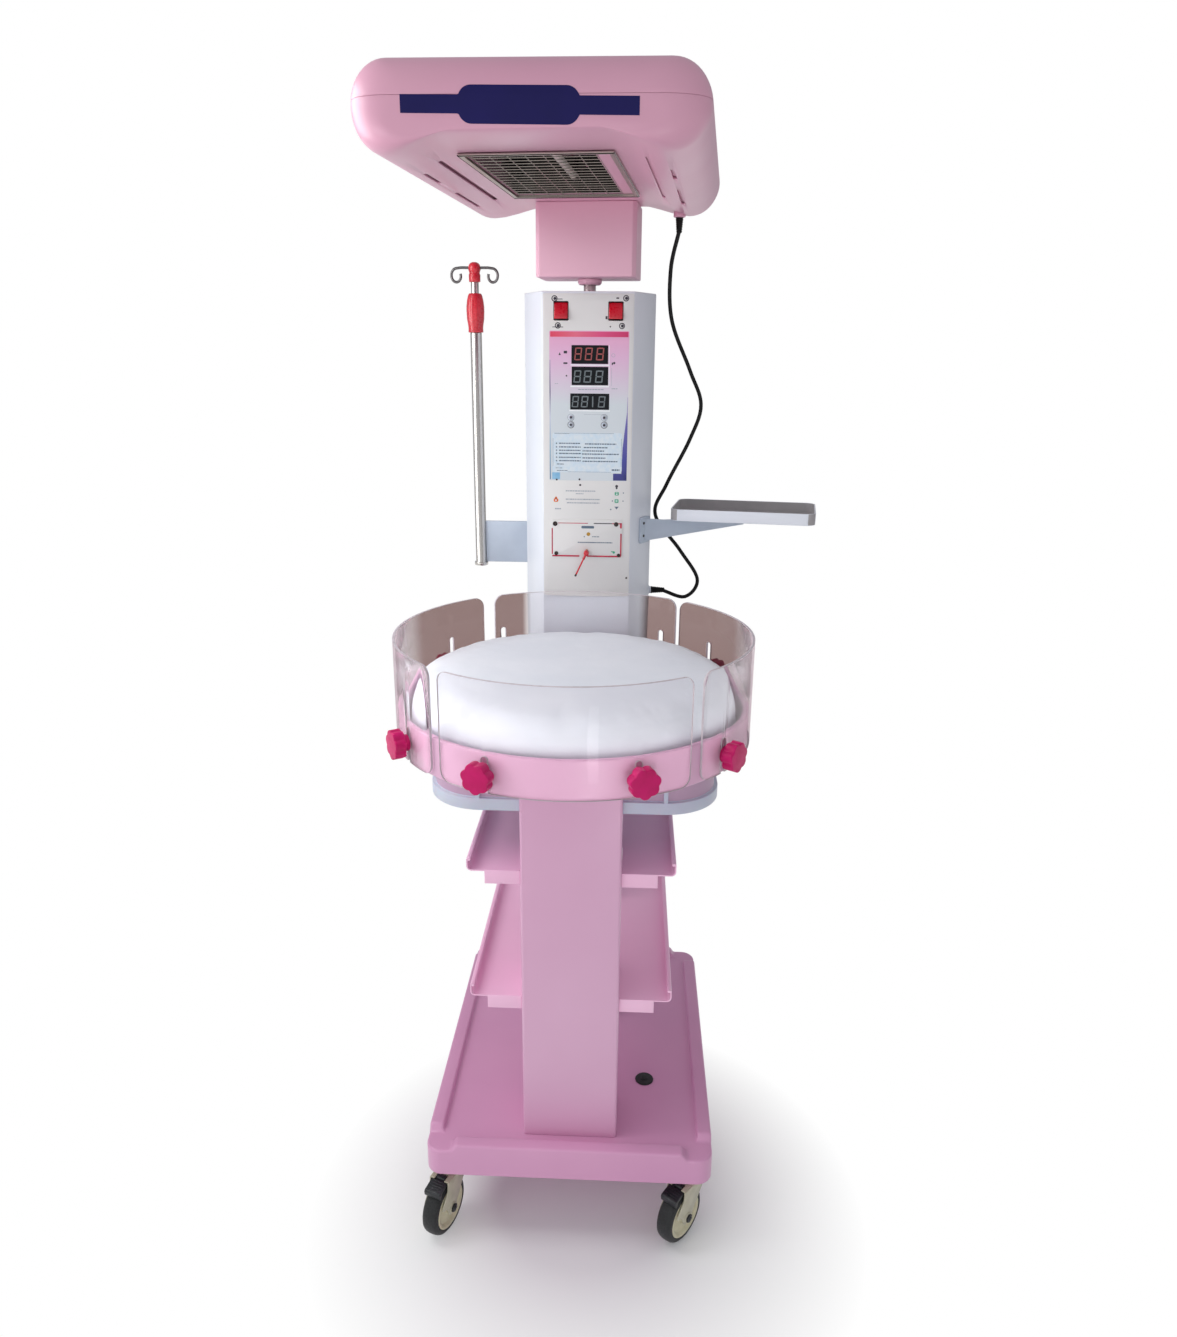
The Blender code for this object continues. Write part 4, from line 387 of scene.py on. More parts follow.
def graded(name, axis, stops):
    """A print whose colour runs along one axis, through (metres, colour) stops."""
    material, tree, shader = surface(name, "white_paint")
    start, end = stops[0][0], stops[-1][0]
    ramp = node(tree, "ShaderNodeValToRGB",
                {"Fac": ranged(tree, height(tree, axis), 0, 1, start, end)})
    steps = ramp.color_ramp.elements
    for i, (place, code) in enumerate(stops):
        share = (place - start) / (end - start)
        step = steps[i] if i < 2 else steps.new(share)
        if i == 1:
            step.position = share
        step.color = linear(code)
    link(tree, shader, Base_Color=ramp.outputs["Color"],
         Roughness=ranged(tree, lumps(tree, 0.02, 3), 0.30, 0.40))
    dimpled(tree, shader, lumps(tree, 0.0012, 2), 0.000006)
    return material


# Mesh tools

def rounded(bm, edges, width, steps, clamped=True):
    bmesh.ops.bevel(bm, geom=edges, offset=width, offset_type="OFFSET", segments=steps,
                    profile=0.5, affect="EDGES", clamp_overlap=clamped, material=-1)


def outward(bm):
    bmesh.ops.recalc_face_normals(bm, faces=bm.faces)
    return bm


def welded(bm, within=0.000002):
    bmesh.ops.remove_doubles(bm, verts=bm.verts, dist=within)
    return bm


def softened(bm, width, steps=3, sharp=30, above=-1e9):
    """Rounds the edges that are sharper than an angle and lie above a height."""
    edges = [e for e in bm.edges if len(e.link_faces) == 2
             and e.calc_face_angle(0) > math.radians(sharp)
             and min(v.co.z for v in e.verts) > above]
    rounded(bm, edges, width, steps)


def box(low, high, corner=0, steps=10, axis=2, soft=0, soft_steps=3):
    """A box between two opposite corners, in either order. Its four edges along one axis are
    rounded, then all edges are softened."""
    low, high = Vector(map(min, low, high)), Vector(map(max, low, high))
    bm = bmesh.new()
    bmesh.ops.create_cube(bm, size=1)
    bmesh.ops.scale(bm, vec=high - low, verts=bm.verts)
    bmesh.ops.translate(bm, vec=(low + high) / 2, verts=bm.verts)
    if corner:
        along = [e for e in bm.edges
                 if abs((e.verts[0].co - e.verts[1].co)[axis]) > (high - low)[axis] / 2]
        rounded(bm, along, corner, steps)
    if soft:
        softened(bm, soft, soft_steps)
    return bm


def prism(outline, low, high, soft=0, steps=3):
    """A flat outline in X and Y, raised from one height to another."""
    bm = bmesh.new()
    face = bm.faces.new([bm.verts.new((x, y, low)) for x, y in outline])
    raised = bmesh.ops.extrude_face_region(bm, geom=[face])["geom"]
    bmesh.ops.translate(bm, vec=(0, 0, high - low),
                        verts=[v for v in raised if isinstance(v, bmesh.types.BMVert)])
    outward(bm)
    if soft:
        softened(bm, soft, steps)
    return bm


def spun(profile, sides=64, soft=0, steps=3, sharp=30):
    """A turned piece: (radius, height) pairs, run down its outer side, and closed."""
    bm = bmesh.new()
    verts = [bm.verts.new((radius, 0, z)) for radius, z in profile]
    edges = [bm.edges.new(pair) for pair in zip(verts, verts[1:])]
    if profile[0][0] > 0 or profile[-1][0] > 0:
        edges.append(bm.edges.new((verts[-1], verts[0])))
    bmesh.ops.spin(bm, geom=verts + edges, cent=(0, 0, 0), axis=(0, 0, 1), dvec=(0, 0, 0),
                   angle=math.tau, steps=sides, use_merge=True, use_duplicate=False)
    outward(welded(bm))
    if soft:
        softened(bm, soft, steps, sharp)
    return bm


def turned(side, *finish):
    """A solid turned piece, flat at both ends, from the (radius, height) pairs of its side."""
    return spun([(0, side[0][1]), *side, (0, side[-1][1])], *finish)


def cylinder(radius, high, low, *finish):
    return turned([(radius, high), (radius, low)], *finish)


def arc(x, z, wide, tall, start, sweep, steps):
    """Points on an ellipse round (x, z), from an angle in degrees and on through a sweep."""
    angles = [math.radians(start + sweep * i / steps) for i in range(steps + 1)]
    return [(x + wide * math.cos(a), z + tall * math.sin(a)) for a in angles]


def drawn(bm, faces, move):
    """Draws faces of a body along, with walls behind them; the verts that moved."""
    made = bmesh.ops.extrude_face_region(bm, geom=faces)["geom"]
    bmesh.ops.delete(bm, geom=faces, context="FACES")
    verts = [v for v in made if isinstance(v, bmesh.types.BMVert)]
    bmesh.ops.translate(bm, vec=move, verts=verts)
    return verts


def stepped(bm, faces, inset, rise):
    """Insets faces and raises what is left of them, or lowers it where rise is below zero."""
    bmesh.ops.inset_region(bm, faces=faces, thickness=inset, use_even_offset=True)
    return drawn(bm, faces, (0, 0, rise))


def sliced(bm, point, normal):
    """Cuts the faces along a plane and keeps both sides."""
    bmesh.ops.bisect_plane(bm, geom=[*bm.verts, *bm.edges, *bm.faces], dist=0.000001,
                           plane_co=point, plane_no=normal)


def placed(bm, *steps):
    for step in steps:
        bmesh.ops.transform(bm, matrix=step, verts=bm.verts)
    return bm


def at(x, y, z):
    return Matrix.Translation((x, y, z))


def turn(degrees, axis):
    return Matrix.Rotation(math.radians(degrees), 4, axis)


def together(first, *others):
    """One bmesh that holds several; the others are used up."""
    for other in others:
        mesh = bpy.data.meshes.new("passing")
        other.to_mesh(mesh)
        other.free()
        first.from_mesh(mesh)
        bpy.data.meshes.remove(mesh)
    return first


def added(name, data):
    """An object of this data, in the scene."""
    obj = bpy.data.objects.new(name, data)
    bpy.context.scene.collection.objects.link(obj)
    return obj


def as_object(name, bm):
    mesh = bpy.data.meshes.new(name)
    bm.to_mesh(mesh)
    bm.free()
    return added(name, mesh)


def evaluated(obj):
    """A bmesh of the object with its modifiers, after which the object is gone."""
    bpy.context.view_layer.update()
    graph = bpy.context.evaluated_depsgraph_get()
    mesh = bpy.data.meshes.new_from_object(obj.evaluated_get(graph))
    bm = bmesh.new()
    bm.from_mesh(mesh)
    data = obj.data
    bpy.data.objects.remove(obj)
    bpy.data.meshes.remove(mesh)
    if isinstance(data, bpy.types.Mesh):
        bpy.data.meshes.remove(data)
    return bm


def carved(bm, *cutters):
    """bm with the cutters' solids taken away."""
    target = as_object("blank", bm)
    tools = [as_object("cutter", cutter) for cutter in cutters]
    for tool in tools:
        modifier = target.modifiers.new("carve", "BOOLEAN")
        modifier.operation = "DIFFERENCE"
        modifier.solver = "EXACT"
        modifier.object = tool
    result = evaluated(target)
    for tool in tools:
        data = tool.data
        bpy.data.objects.remove(tool)
        bpy.data.meshes.remove(data)
    return result


def wired(points, radius, detail=3):
    """A round wire along points, as a bmesh."""
    curve = bpy.data.curves.new("wire", "CURVE")
    curve.dimensions = "3D"
    curve.bevel_depth = radius
    curve.bevel_resolution = detail
    curve.use_fill_caps = True
    spline = curve.splines.new("POLY")
    spline.points.add(len(points) - 1)
    for point, place in zip(spline.points, points):
        point.co = (*place, 1)
    return outward(welded(evaluated(added("wire", curve))))


def flowing(points, step):
    """Points at an even spacing on a smooth curve through the given points."""
    dense = []
    ends = [points[0] * 2 - points[1], *points, points[-1] * 2 - points[-2]]
    for before, start, end, after in zip(ends, ends[1:], ends[2:], ends[3:]):
        for k in range(20):
            t = k / 20
            dense.append(0.5 * (2 * start + (end - before) * t
                                + (2 * before - 5 * start + 4 * end - after) * t * t
                                + (3 * start - before - 3 * end + after) * t ** 3))
    dense.append(points[-1])
    even, gone = [dense[0]], 0
    for a, b in zip(dense, dense[1:]):
        gone += (b - a).length
        if gone >= step:
            even.append(b)
            gone = 0
    if (even[-1] - dense[-1]).length < step / 2:
        even.pop()
    return even + [dense[-1]]


def piece(name, bm, look, body, place=BED_PLACE, stands_for=(), smooth=35):
    """The finished piece: carried to its place, given its look, and riding on its body, if it
    has just one."""
    obj = as_object(name, placed(bm, place))
    looks = look if isinstance(look, (list, tuple)) else [look]
    for each in looks:
        obj.data.materials.append(each)
    obj.data.shade_smooth()
    obj.data.set_sharp_from_angle(angle=math.radians(smooth))
    if body:
        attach(obj, body)
    if stands_for:
        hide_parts(*stands_for)
    return obj


# Camera and cord

def make_camera():
    data = bpy.data.cameras.new("photo_camera")
    data.sensor_width = SENSOR
    data.lens = LENS
    data.clip_start, data.clip_end = 0.05, 60
    camera = added("photo_camera", data)
    camera.matrix_world = (BED_PLACE @ at(*CAMERA_AT) @ Matrix.Rotation(CAMERA_YAW, 4, "Z")
                           @ Matrix.Rotation(math.pi / 2 - CAMERA_DOWN, 4, "X")
                           @ Matrix.Rotation(CAMERA_ROLL, 4, "Z"))
    bpy.context.scene.camera = camera


def make_cord():
    """The head's cord sags from its underside, right of the neck, to the mast's side gland."""
    path = [BED_PLACE @ point for point in
            flowing([Vector(place) for place in CORD_ROUTE], 0.004)]
    cord = piece("head_cord_sheath", wired(path, CORD_R, 5), CABLE, None, Matrix.Identity(4),
                 ["head_cord"], smooth=60)
    relief, pitch = [(CORD_R + 0.0002, 0)], 0.0034
    for i in range(6):
        outer = 0.0046 + 0.00028 * i
        relief += [(outer, 0.0015 + pitch * i), (outer, 0.0035 + pitch * i),
                   (outer - 0.0009, 0.0038 + pitch * i)]
    relief += [(0.0064, 0.0222), (0.0064, 0.0250)]
    top, end = Vector(CORD_ROUTE[0]), Vector(CORD_ROUTE[-1])
    upper = piece("head_strain_relief", placed(turned(relief, 32, 0.0002, 2),
                                               at(top.x, top.y, top.z - 0.0217)),
                  CABLE, "head")
    lower = piece("mast_strain_relief", placed(turned(relief, 32, 0.0002, 2), turn(-90, "Y"),
                                               at(end.x + 0.0240, end.y, end.z)),
                  CABLE, "stand")
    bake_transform(cord)


# Stand

def hollow_tube(low, high):
    """A square tube of sheet, open at both ends."""
    wall, corner = 0.0025, 0.005
    outer = box(low, high, corner, 6, soft=0.0006, soft_steps=2)
    inner = box((low[0] + wall, low[1] + wall, low[2] - wall),
                (high[0] - wall, high[1] - wall, high[2] + wall), corner - wall, 4)
    return carved(outer, inner)


def make_base():
    """A tray turned upside down: a deck with a raised rail along each edge, a skirt that is open
    below, and a plate and a cup for each caster."""
    bm = box((-BASE_HALF, BASE_FRONT, BASE_UNDER), (BASE_HALF, BASE_REAR, BASE_DECK),
             BASE_CORNER, 12)
    reach = BASE_CORNER + RAIL_END
    for normal, places in (((1, 0, 0), (BASE_HALF - reach, BASE_HALF - RAIL_WIDE,
                                        -BASE_HALF + reach, -BASE_HALF + RAIL_WIDE)),
                           ((0, 1, 0), (BASE_FRONT + reach, BASE_FRONT + RAIL_WIDE,
                                        BASE_REAR - reach, BASE_REAR - RAIL_WIDE))):
        for place in places:
            sliced(bm, Vector(normal) * place, normal)

    def on_rail(centre):
        in_x = abs(centre.x) < BASE_HALF - reach
        in_y = BASE_FRONT + reach < centre.y < BASE_REAR - reach
        edge_y = centre.y < BASE_FRONT + RAIL_WIDE or centre.y > BASE_REAR - RAIL_WIDE
        edge_x = abs(centre.x) > BASE_HALF - RAIL_WIDE
        return (in_x and edge_y) or (in_y and edge_x)

    tops = [f for f in bm.faces if f.normal.z > 0.9 and on_rail(f.calc_center_median())]
    verts = drawn(bm, tops, (0, 0, RAIL_HIGH))
    middle = (BASE_FRONT + BASE_REAR) / 2
    deep = (BASE_REAR - BASE_FRONT) / 2
    for v in verts:
        if abs(abs(v.co.x) - (BASE_HALF - reach)) < 1e-5:
            v.co.x -= math.copysign(RAIL_SLANT, v.co.x)
        if abs(abs(v.co.y - middle) - (deep - reach)) < 1e-5:
            v.co.y -= math.copysign(RAIL_SLANT, v.co.y - middle)
    bmesh.ops.dissolve_limit(bm, angle_limit=0.001, verts=bm.verts, edges=bm.edges)
    softened(bm, 0.0045, 5, 30, BASE_DECK - 0.001)
    bottom = [f for f in bm.faces if f.normal.z < -0.9]
    bmesh.ops.inset_region(bm, faces=bottom, thickness=BASE_WALL, use_even_offset=True)
    bottom = [f for f in bm.faces if f.normal.z < -0.9 and f.calc_area() > 0.1]
    drawn(bm, bottom, (0, 0, BASE_DECK - BASE_WALL - BASE_UNDER))
    plate_outer, plate_inner, plate_beyond, plate_within = 0.245, 0.172, 0.040, 0.032
    for corner, x, y in caster_corners():
        side = math.copysign(1, x)
        end = -1 if "front" in corner else 1
        plate = box((side * plate_outer, y + end * plate_beyond, BASE_UNDER),
                    (side * plate_inner, y - end * plate_within, BASE_UNDER + 0.004), 0.026, 8,
                    soft=0.0008)
        cup = turned([(0.022, 0.1345), (0.022, 0.1155), (0.0195, 0.113)], 40, 0.0008, 2)
        together(bm, plate, placed(cup, at(x, y, 0)))
    piece("base_tray_shell", bm, BASE_PINK_PAINTED_SHADE, "stand", STAND_PLACE, ["base_tray"], 30)
    profile = [(0.0058, 0.006), (0.006, 0.003), (0.0155, 0.003), (0.017, 0.0015), (0.017, HAIR),
               (0.012, HAIR), (0.012, -BASE_WALL)]
    piece("base_rubber_grommet", placed(turned(profile, 40, 0.0005, 2), at(*GROMMET, BASE_DECK)),
          RUBBER, "stand", STAND_PLACE, ["base_grommet"])


def caster_corners():
    side = BASE_HALF - CASTER_IN_X
    front, rear = BASE_FRONT + CASTER_IN_Y, BASE_REAR - CASTER_IN_Y
    return (("front_left", -side, front), ("front_right", side, front),
            ("rear_left", -side, rear), ("rear_right", side, rear))


# A fork's cheek in side view: from the crown's front down and round the axle, then up its rear
# edge, which stands out further on the braked casters
CHEEK_FRONT = [(-0.024, 0.1095), (-0.0235, 0.1030), (0.0140, 0.0530), (0.0155, 0.0440),
               (0.0215, 0.0387), (0.0345, 0.0387), (0.0400, 0.0440), (0.0425, 0.0530)]
CHEEK_BRAKED = [(0.0465, 0.0610), (0.0585, 0.0655), (0.0575, 0.0700), (0.0400, 0.0940),
                (0.0385, 0.1095)]
CHEEK_PLAIN = [(0.0330, 0.0990), (0.0290, 0.1095)]


def make_fork(corner, place, braked):
    """The crown with its race, a bridge under it, a cheek with a boss on each side, and the
    axle's nuts."""
    upright = turn(90, "X")
    crown = turned([(0.013, CROWN_HIGH), (CROWN - 0.002, CROWN_HIGH - 0.001),
                    (CROWN, CROWN_LOW + 0.002), (CROWN, CROWN_LOW)], 48, 0.0008, 2)
    race = turned([(0.0185, 0.1129), (0.0195, 0.1118), (0.0195, 0.1108)], 40, 0.0004, 2)
    cheeks, nuts = [], []
    for face in (-1, 1):
        start = FORK_IN if face < 0 else -FORK_IN - FORK_SHEET
        cheek = prism(CHEEK_FRONT + (CHEEK_BRAKED if braked else CHEEK_PLAIN), start,
                      start + FORK_SHEET, 0.0008, 2)
        boss = turned([(0.0092, 0.0016), (0.0100, 0)], 36, 0.0004, 2)
        outward_turn = turn(-90 * face, "X")
        cheeks += [placed(cheek, upright),
                   placed(boss, outward_turn, at(TRAIL, face * (FORK_IN + FORK_SHEET), WHEEL))]
        nut = bmesh.new()
        bmesh.ops.create_cone(nut, cap_ends=True, segments=6, radius1=0.0078, radius2=0.0078,
                              depth=0.0034)
        softened(nut, 0.0006, 2)
        together(nut, spun([(0, 0.0032), (0.0030, 0.0030), (0.0038, 0.0018), (0.0038, 0),
                            (0, 0)], 20))
        nuts.append(placed(nut, outward_turn,
                           at(TRAIL, face * (FORK_IN + FORK_SHEET + 0.0032), WHEEL)))
    back = 0.0380 if braked else 0.0295
    bridge = prism([(-0.0245, 0.1105), (back, 0.1105), (back, 0.1085), (-0.0245, 0.1085)],
                   -FORK_IN - 0.0008, FORK_IN + 0.0008, 0.0006, 2)
    placed(bridge, upright)
    if braked:
        bridge = carved(bridge, box((PEDAL_X - 0.0070, -0.0100, 0.1000),
                                    (0.0600, 0.0100, 0.1150)))
    piece("caster_fork_shell_" + corner, together(crown, race, bridge, *cheeks), FORK_CREAM,
          "caster_" + corner, place, ["caster_fork_" + corner])
    piece("caster_axle_nuts_" + corner, together(*nuts), PEDAL_BLACK, "caster_" + corner, place)


def make_wheel(corner, place):
    """A dished hub and a tyre that is round in section, both the same on either side."""
    hub = [(0.0056, HUB_HALF), (0.0120, HUB_HALF), (0.0140, HUB_HALF - 0.0035),
           (0.0300, HUB_HALF - 0.0055), (0.0335, WHEEL_HALF - 0.0008), (0.0350, WHEEL_HALF),
           (HUB, WHEEL_HALF)]
    hub += [(radius, -z) for radius, z in reversed(hub)]
    piece("caster_hub_disc_" + corner, spun(hub, 64, 0.0006, 2, 15), HUB_CREAM,
          "wheel_" + corner, place, ["caster_hub_" + corner])
    tyre = [(HUB + HAIR, WHEEL_HALF - 0.0006), (HUB + 0.0018, WHEEL_HALF),
            (0.0440, WHEEL_HALF - 0.0004), (0.0476, 0.0120), (0.0492, 0.0085), (0.0499, 0.0040),
            (WHEEL, 0)]
    tyre += [(radius, -z) for radius, z in reversed(tyre[:-1])]
    piece("caster_tyre_tread_" + corner, spun(tyre, 96), RUBBER, "wheel_" + corner, place,
          ["caster_tyre_" + corner], 60)


def make_casters():
    for corner, x, y in caster_corners():
        place = STAND_PLACE @ at(x, y, 0) @ turn(CASTER_TURNS[corner], "Z")
        braked = "front" in corner
        make_fork(corner, place, braked)
        make_wheel(corner, place @ at(TRAIL, 0, WHEEL) @ turn(90, "X"))
        if braked:
            make_pedal(corner, place)


def make_pedal(corner, place):
    """The black brake pedal: a ribbed pad that droops over the tyre from its hinge."""
    hinge = place @ at(PEDAL_X, 0, PEDAL_Z) @ Matrix.Rotation(PEDAL_DROOP, 4, "Y")
    outline = [(0.0050, -0.0030), (0.0240, -0.0034), (0.0270, -0.0100), (0.0315, -0.0112),
               (0.0338, -0.0060), (0.0330, 0.0010), (0.0300, 0.0032), (0.0050, 0.0032)]
    pad_half, rib_half, hinge_half, pitch = 0.0155, 0.0125, 0.0086, 0.0046
    pad = placed(prism(outline, -pad_half, pad_half, 0.0009, 3), turn(90, "X"))
    ribs = [box((0.0080 + pitch * i, -rib_half, 0.0030), (0.0104 + pitch * i, rib_half, 0.0039),
                soft=0.0004, soft_steps=2) for i in range(5)]
    barrel = placed(cylinder(0.0055, hinge_half, -hinge_half, 32, 0.0005, 2), turn(90, "X"))
    tongue = box((0, -hinge_half, -0.0022), (0.0110, hinge_half, 0.0022), soft=0.0005)
    piece("caster_brake_pad_" + corner, together(pad, barrel, tongue, *ribs), PEDAL_BLACK,
          "pedal_" + corner, hinge, ["caster_pedal_" + corner])


def make_posts():
    foot = BASE_DECK + HAIR
    pedestal = hollow_tube((-PEDESTAL_HALF, PEDESTAL_FRONT, foot),
                           (PEDESTAL_HALF, PEDESTAL_REAR, PAN_LOW - HAIR))
    piece("pedestal_tube", pedestal, PINK, "stand", STAND_PLACE, ["pedestal"])
    post = hollow_tube((-POST_HALF, POST_FRONT, foot), (POST_HALF, POST_REAR, POST_TOP))
    piece("rear_post_tube", post, WHITE, "stand", MAST_PLACE, ["rear_post"])


def stand_cutters(low, high):
    """The pedestal's notch and the post's hole, for what they pass through."""
    shift = MAST_X - STAND_X
    return (box((-PEDESTAL_HALF - HAIR, PEDESTAL_FRONT - 0.03, low),
                (PEDESTAL_HALF + HAIR, PEDESTAL_REAR + HAIR, high)),
            box((shift - POST_HALF - HAIR, POST_FRONT - HAIR, low),
                (shift + POST_HALF + HAIR, POST_REAR + HAIR, high)))


def make_shelf(name, level):
    """Folded sheet: round folds up to rims with rolled lips on three sides, a front apron."""
    floor, top = level - SHEET, level + SHELF_RIM
    fold, lip = 0.008, 0.0042
    inner, near, far = SHELF_HALF - SHELF_ROLL, 0.0006, 0.0021
    half = arc(SHELF_HALF - fold, floor + fold, fold, fold, -90, 90, 6)
    half += [(SHELF_HALF, top - far), (SHELF_HALF - near, top - 0.0007), (SHELF_HALF - far, top),
             (inner + far, top), (inner + near, top - 0.0007), (inner, top - far),
             (inner + near, top - lip + 0.0007), (inner + far, top - lip),
             (SHELF_HALF - SHEET, top - lip)]
    half += arc(SHELF_HALF - fold, floor + fold, fold - SHEET, fold - SHEET, 0, -90, 6)
    section = half + [(-x, z) for x, z in reversed(half)]
    bm = placed(prism(section, -SHELF_REAR, -SHELF_FRONT), turn(90, "X"))
    bm = carved(bm, *stand_cutters(floor - 0.01, top))
    rear = box((-SHELF_HALF + fold, SHELF_REAR - SHEET, floor + 0.0005),
               (SHELF_HALF - fold, SHELF_REAR, top - SHEET), soft=0.0008)
    rear_lip = box((-SHELF_HALF + fold, SHELF_REAR - 0.006, top - SHEET - lip),
                   (SHELF_HALF - fold, SHELF_REAR, top - SHEET), soft=0.0017, soft_steps=4)
    aprons = [box((side * APRON_HALF, SHELF_FRONT - 0.0004, level - APRON),
                  (side * (PEDESTAL_HALF + HAIR), SHELF_FRONT + SHEET, level + 0.0003),
                  soft=0.0007) for side in (-1, 1)]
    piece(name + "_sheet", together(bm, rear, rear_lip, *aprons), SHELF_PINK_PAINTED_LIGHT, "stand",
          STAND_PLACE, [name], 40)


def make_tub():
    """A moulded tub with a proud band round its foot, a pinkish wall above it that is painted
    darker as painted shade under the pan, and two pale struts in front; the pedestal and post
    pass through it."""
    bm = box((-TUB_HALF, TUB_FRONT, TUB_FLOOR), (TUB_HALF, TUB_REAR, TUB_FLOOR + TUB_BAND),
             TUB_CORNER, 20)

    def top_face():
        return [max((f for f in bm.faces if f.normal.z > 0.9 and len(f.verts) > 8),
                    key=lambda f: (round(f.calc_center_median().z, 6), f.calc_area()))]

    stepped(bm, top_face(), TUB_STEP, TUB_TOP - TUB_FLOOR - TUB_BAND)
    stepped(bm, top_face(), TUB_WALL, TUB_FLOOR + TUB_WALL - TUB_TOP)
    softened(bm, 0.0012, 3)
    bm = carved(bm, *stand_cutters(TUB_FLOOR - 0.01, TUB_TOP + 0.01))
    # Faces above the band take the wall's painted shade
    for f in bm.faces:
        f.material_index = 1 if f.calc_center_median().z > TUB_FLOOR + TUB_BAND + 0.002 else 0
    piece("bed_tub_shell", bm, [TUB_WHITE, TUB_SHADE], "stand", STAND_PLACE, ["bed_tub"])
    struts = [box((side * STRUT_X - STRUT_HALF, TUB_FRONT + 0.0005, TUB_FLOOR + TUB_BAND - 0.001),
                  (side * STRUT_X + STRUT_HALF, TUB_FRONT + TUB_STEP + 0.001, TUB_TOP - 0.004),
                  soft=0.0008) for side in (-1, 1)]
    piece("bed_tub_struts", together(*struts), TUB_WHITE, "stand", STAND_PLACE)


def make_pan():
    inner, floor = PAN - PAN_WALL, PAN_LOW + PAN_FLOOR
    profile = [(0, floor), (inner, floor), (inner, PAN_HIGH), (PAN, PAN_HIGH), (PAN, PAN_LOW),
               (0, PAN_LOW)]
    bm = spun(profile, 192, 0.0024, 4)
    piece("bed_pan_shell", bm, PINK, "stand", BED_PLACE, ["bed_pan"])


def make_pad():
    """The round mattress: foam in a coated cover, crowned, tight at its rim, dimpled on top."""
    foot = PAN_LOW + PAN_FLOOR + HAIR
    shrink = PAD_SWELL
    rows = [(0, PAD_CROWN - shrink)]
    for share in (0.2, 0.4, 0.55, 0.7):
        rows.append((PAD * share, PAD_CROWN - shrink - 0.0020 * share ** 2))
    for i in range(9):
        angle = math.radians(86 - 86 * i / 8)
        rows.append((PAD - shrink - 0.042 * (1 - math.cos(angle)),
                     PAN_HIGH + 0.002 + 0.036 * math.sin(angle)))
    rows += [(PAD - 0.003 - shrink, foot + 0.030), (PAD - shrink, foot + 0.014),
             (PAD - 0.003 - shrink, foot + 0.004), (PAD - 0.012 - shrink, foot), (0, foot)]
    bm = spun(rows, 96)
    bm = stuffed(bm, foot)
    pad = piece("mattress_cover", bm, PAD_COVER, "stand", BED_PLACE, ["mattress"], 80)
    smoother = pad.modifiers.new("smoother", "SUBSURF")
    smoother.levels = smoother.render_levels = 1


def stuffed(bm, foot):
    """Cloth simulation swells the pad a little, so that its cover wrinkles as a stuffed one does.
    A cap keeps each point near where the foam holds it."""
    pad = as_object("pad_blank", bm)
    remesh = pad.modifiers.new("even", "REMESH")
    remesh.mode = "VOXEL"
    remesh.voxel_size = 0.006
    pad = as_object("pad_cloth", evaluated(pad))
    rest = [v.co.copy() for v in pad.data.vertices]
    cloth = pad.modifiers.new("cloth", "CLOTH")
    cloth.settings.use_pressure = True
    cloth.settings.uniform_pressure_force = 4
    cloth.settings.effector_weights.gravity = 0
    cloth.settings.quality = 4
    cloth.settings.shrink_min = -0.012
    scene = bpy.context.scene
    scene.frame_start = 1
    for number in range(1, 21):
        scene.frame_set(number)
    bm = evaluated(pad)
    scene.frame_set(1)
    bm.verts.ensure_lookup_table()
    for v, start in zip(bm.verts, rest):
        move = v.co - start
        if move.length > PAD_SWELL:
            move *= PAD_SWELL / move.length
        goal = start + move
        radius = math.hypot(goal.x, goal.y)
        if radius > PAD:
            goal.x, goal.y = goal.x * PAD / radius, goal.y * PAD / radius
        goal.z = min(max(goal.z, foot), PAD_CROWN + 0.002)
        v.co = goal
    return bm


def knob_levels(degrees):
    """A knob's height and the top of its slot; those at the rear are higher."""
    if abs(degrees) > 90:
        return KNOB_REAR_Z, KNOB_REAR_Z + SLOT_REAR_ABOVE
    return KNOB_Z, KNOB_Z + SLOT_ABOVE


def make_knobs():
    """Seven-lobed clamping knobs; each frame points out along +X from the pan."""
    steps = 84
    outline = []
    for i in range(steps):
        angle = math.tau * i / steps
        radius = KNOB_R + KNOB_WAVE * (2 * abs(math.cos(3.5 * angle)) - 1)
        outline.append((radius * math.cos(angle), radius * math.sin(angle)))
    for number, degrees in enumerate(KNOB_TURNS, 1):
        start = KNOB_SEAT + 0.008
        place = BED_PLACE @ at(0, 0, knob_levels(degrees)[0]) @ turn(degrees - 90, "Z")
        body = prism(outline, start, start + KNOB_THICK, 0.0030, 5)
        collar = turned([(0.0125, start + 0.001), (0.0115, start - 0.002),
                         (0.0115, KNOB_SEAT)], 40, 0.0006, 2)
        bolt = cylinder(0.0031, start, PAN - 0.0055, 20)
        name = "knob_%d" % number
        piece(name + "_grip", placed(together(body, collar), turn(90, "Y")), MAGENTA, name, place,
              [name])
        piece(name + "_bolt", placed(bolt, turn(90, "Y")), SCREW, name, place)


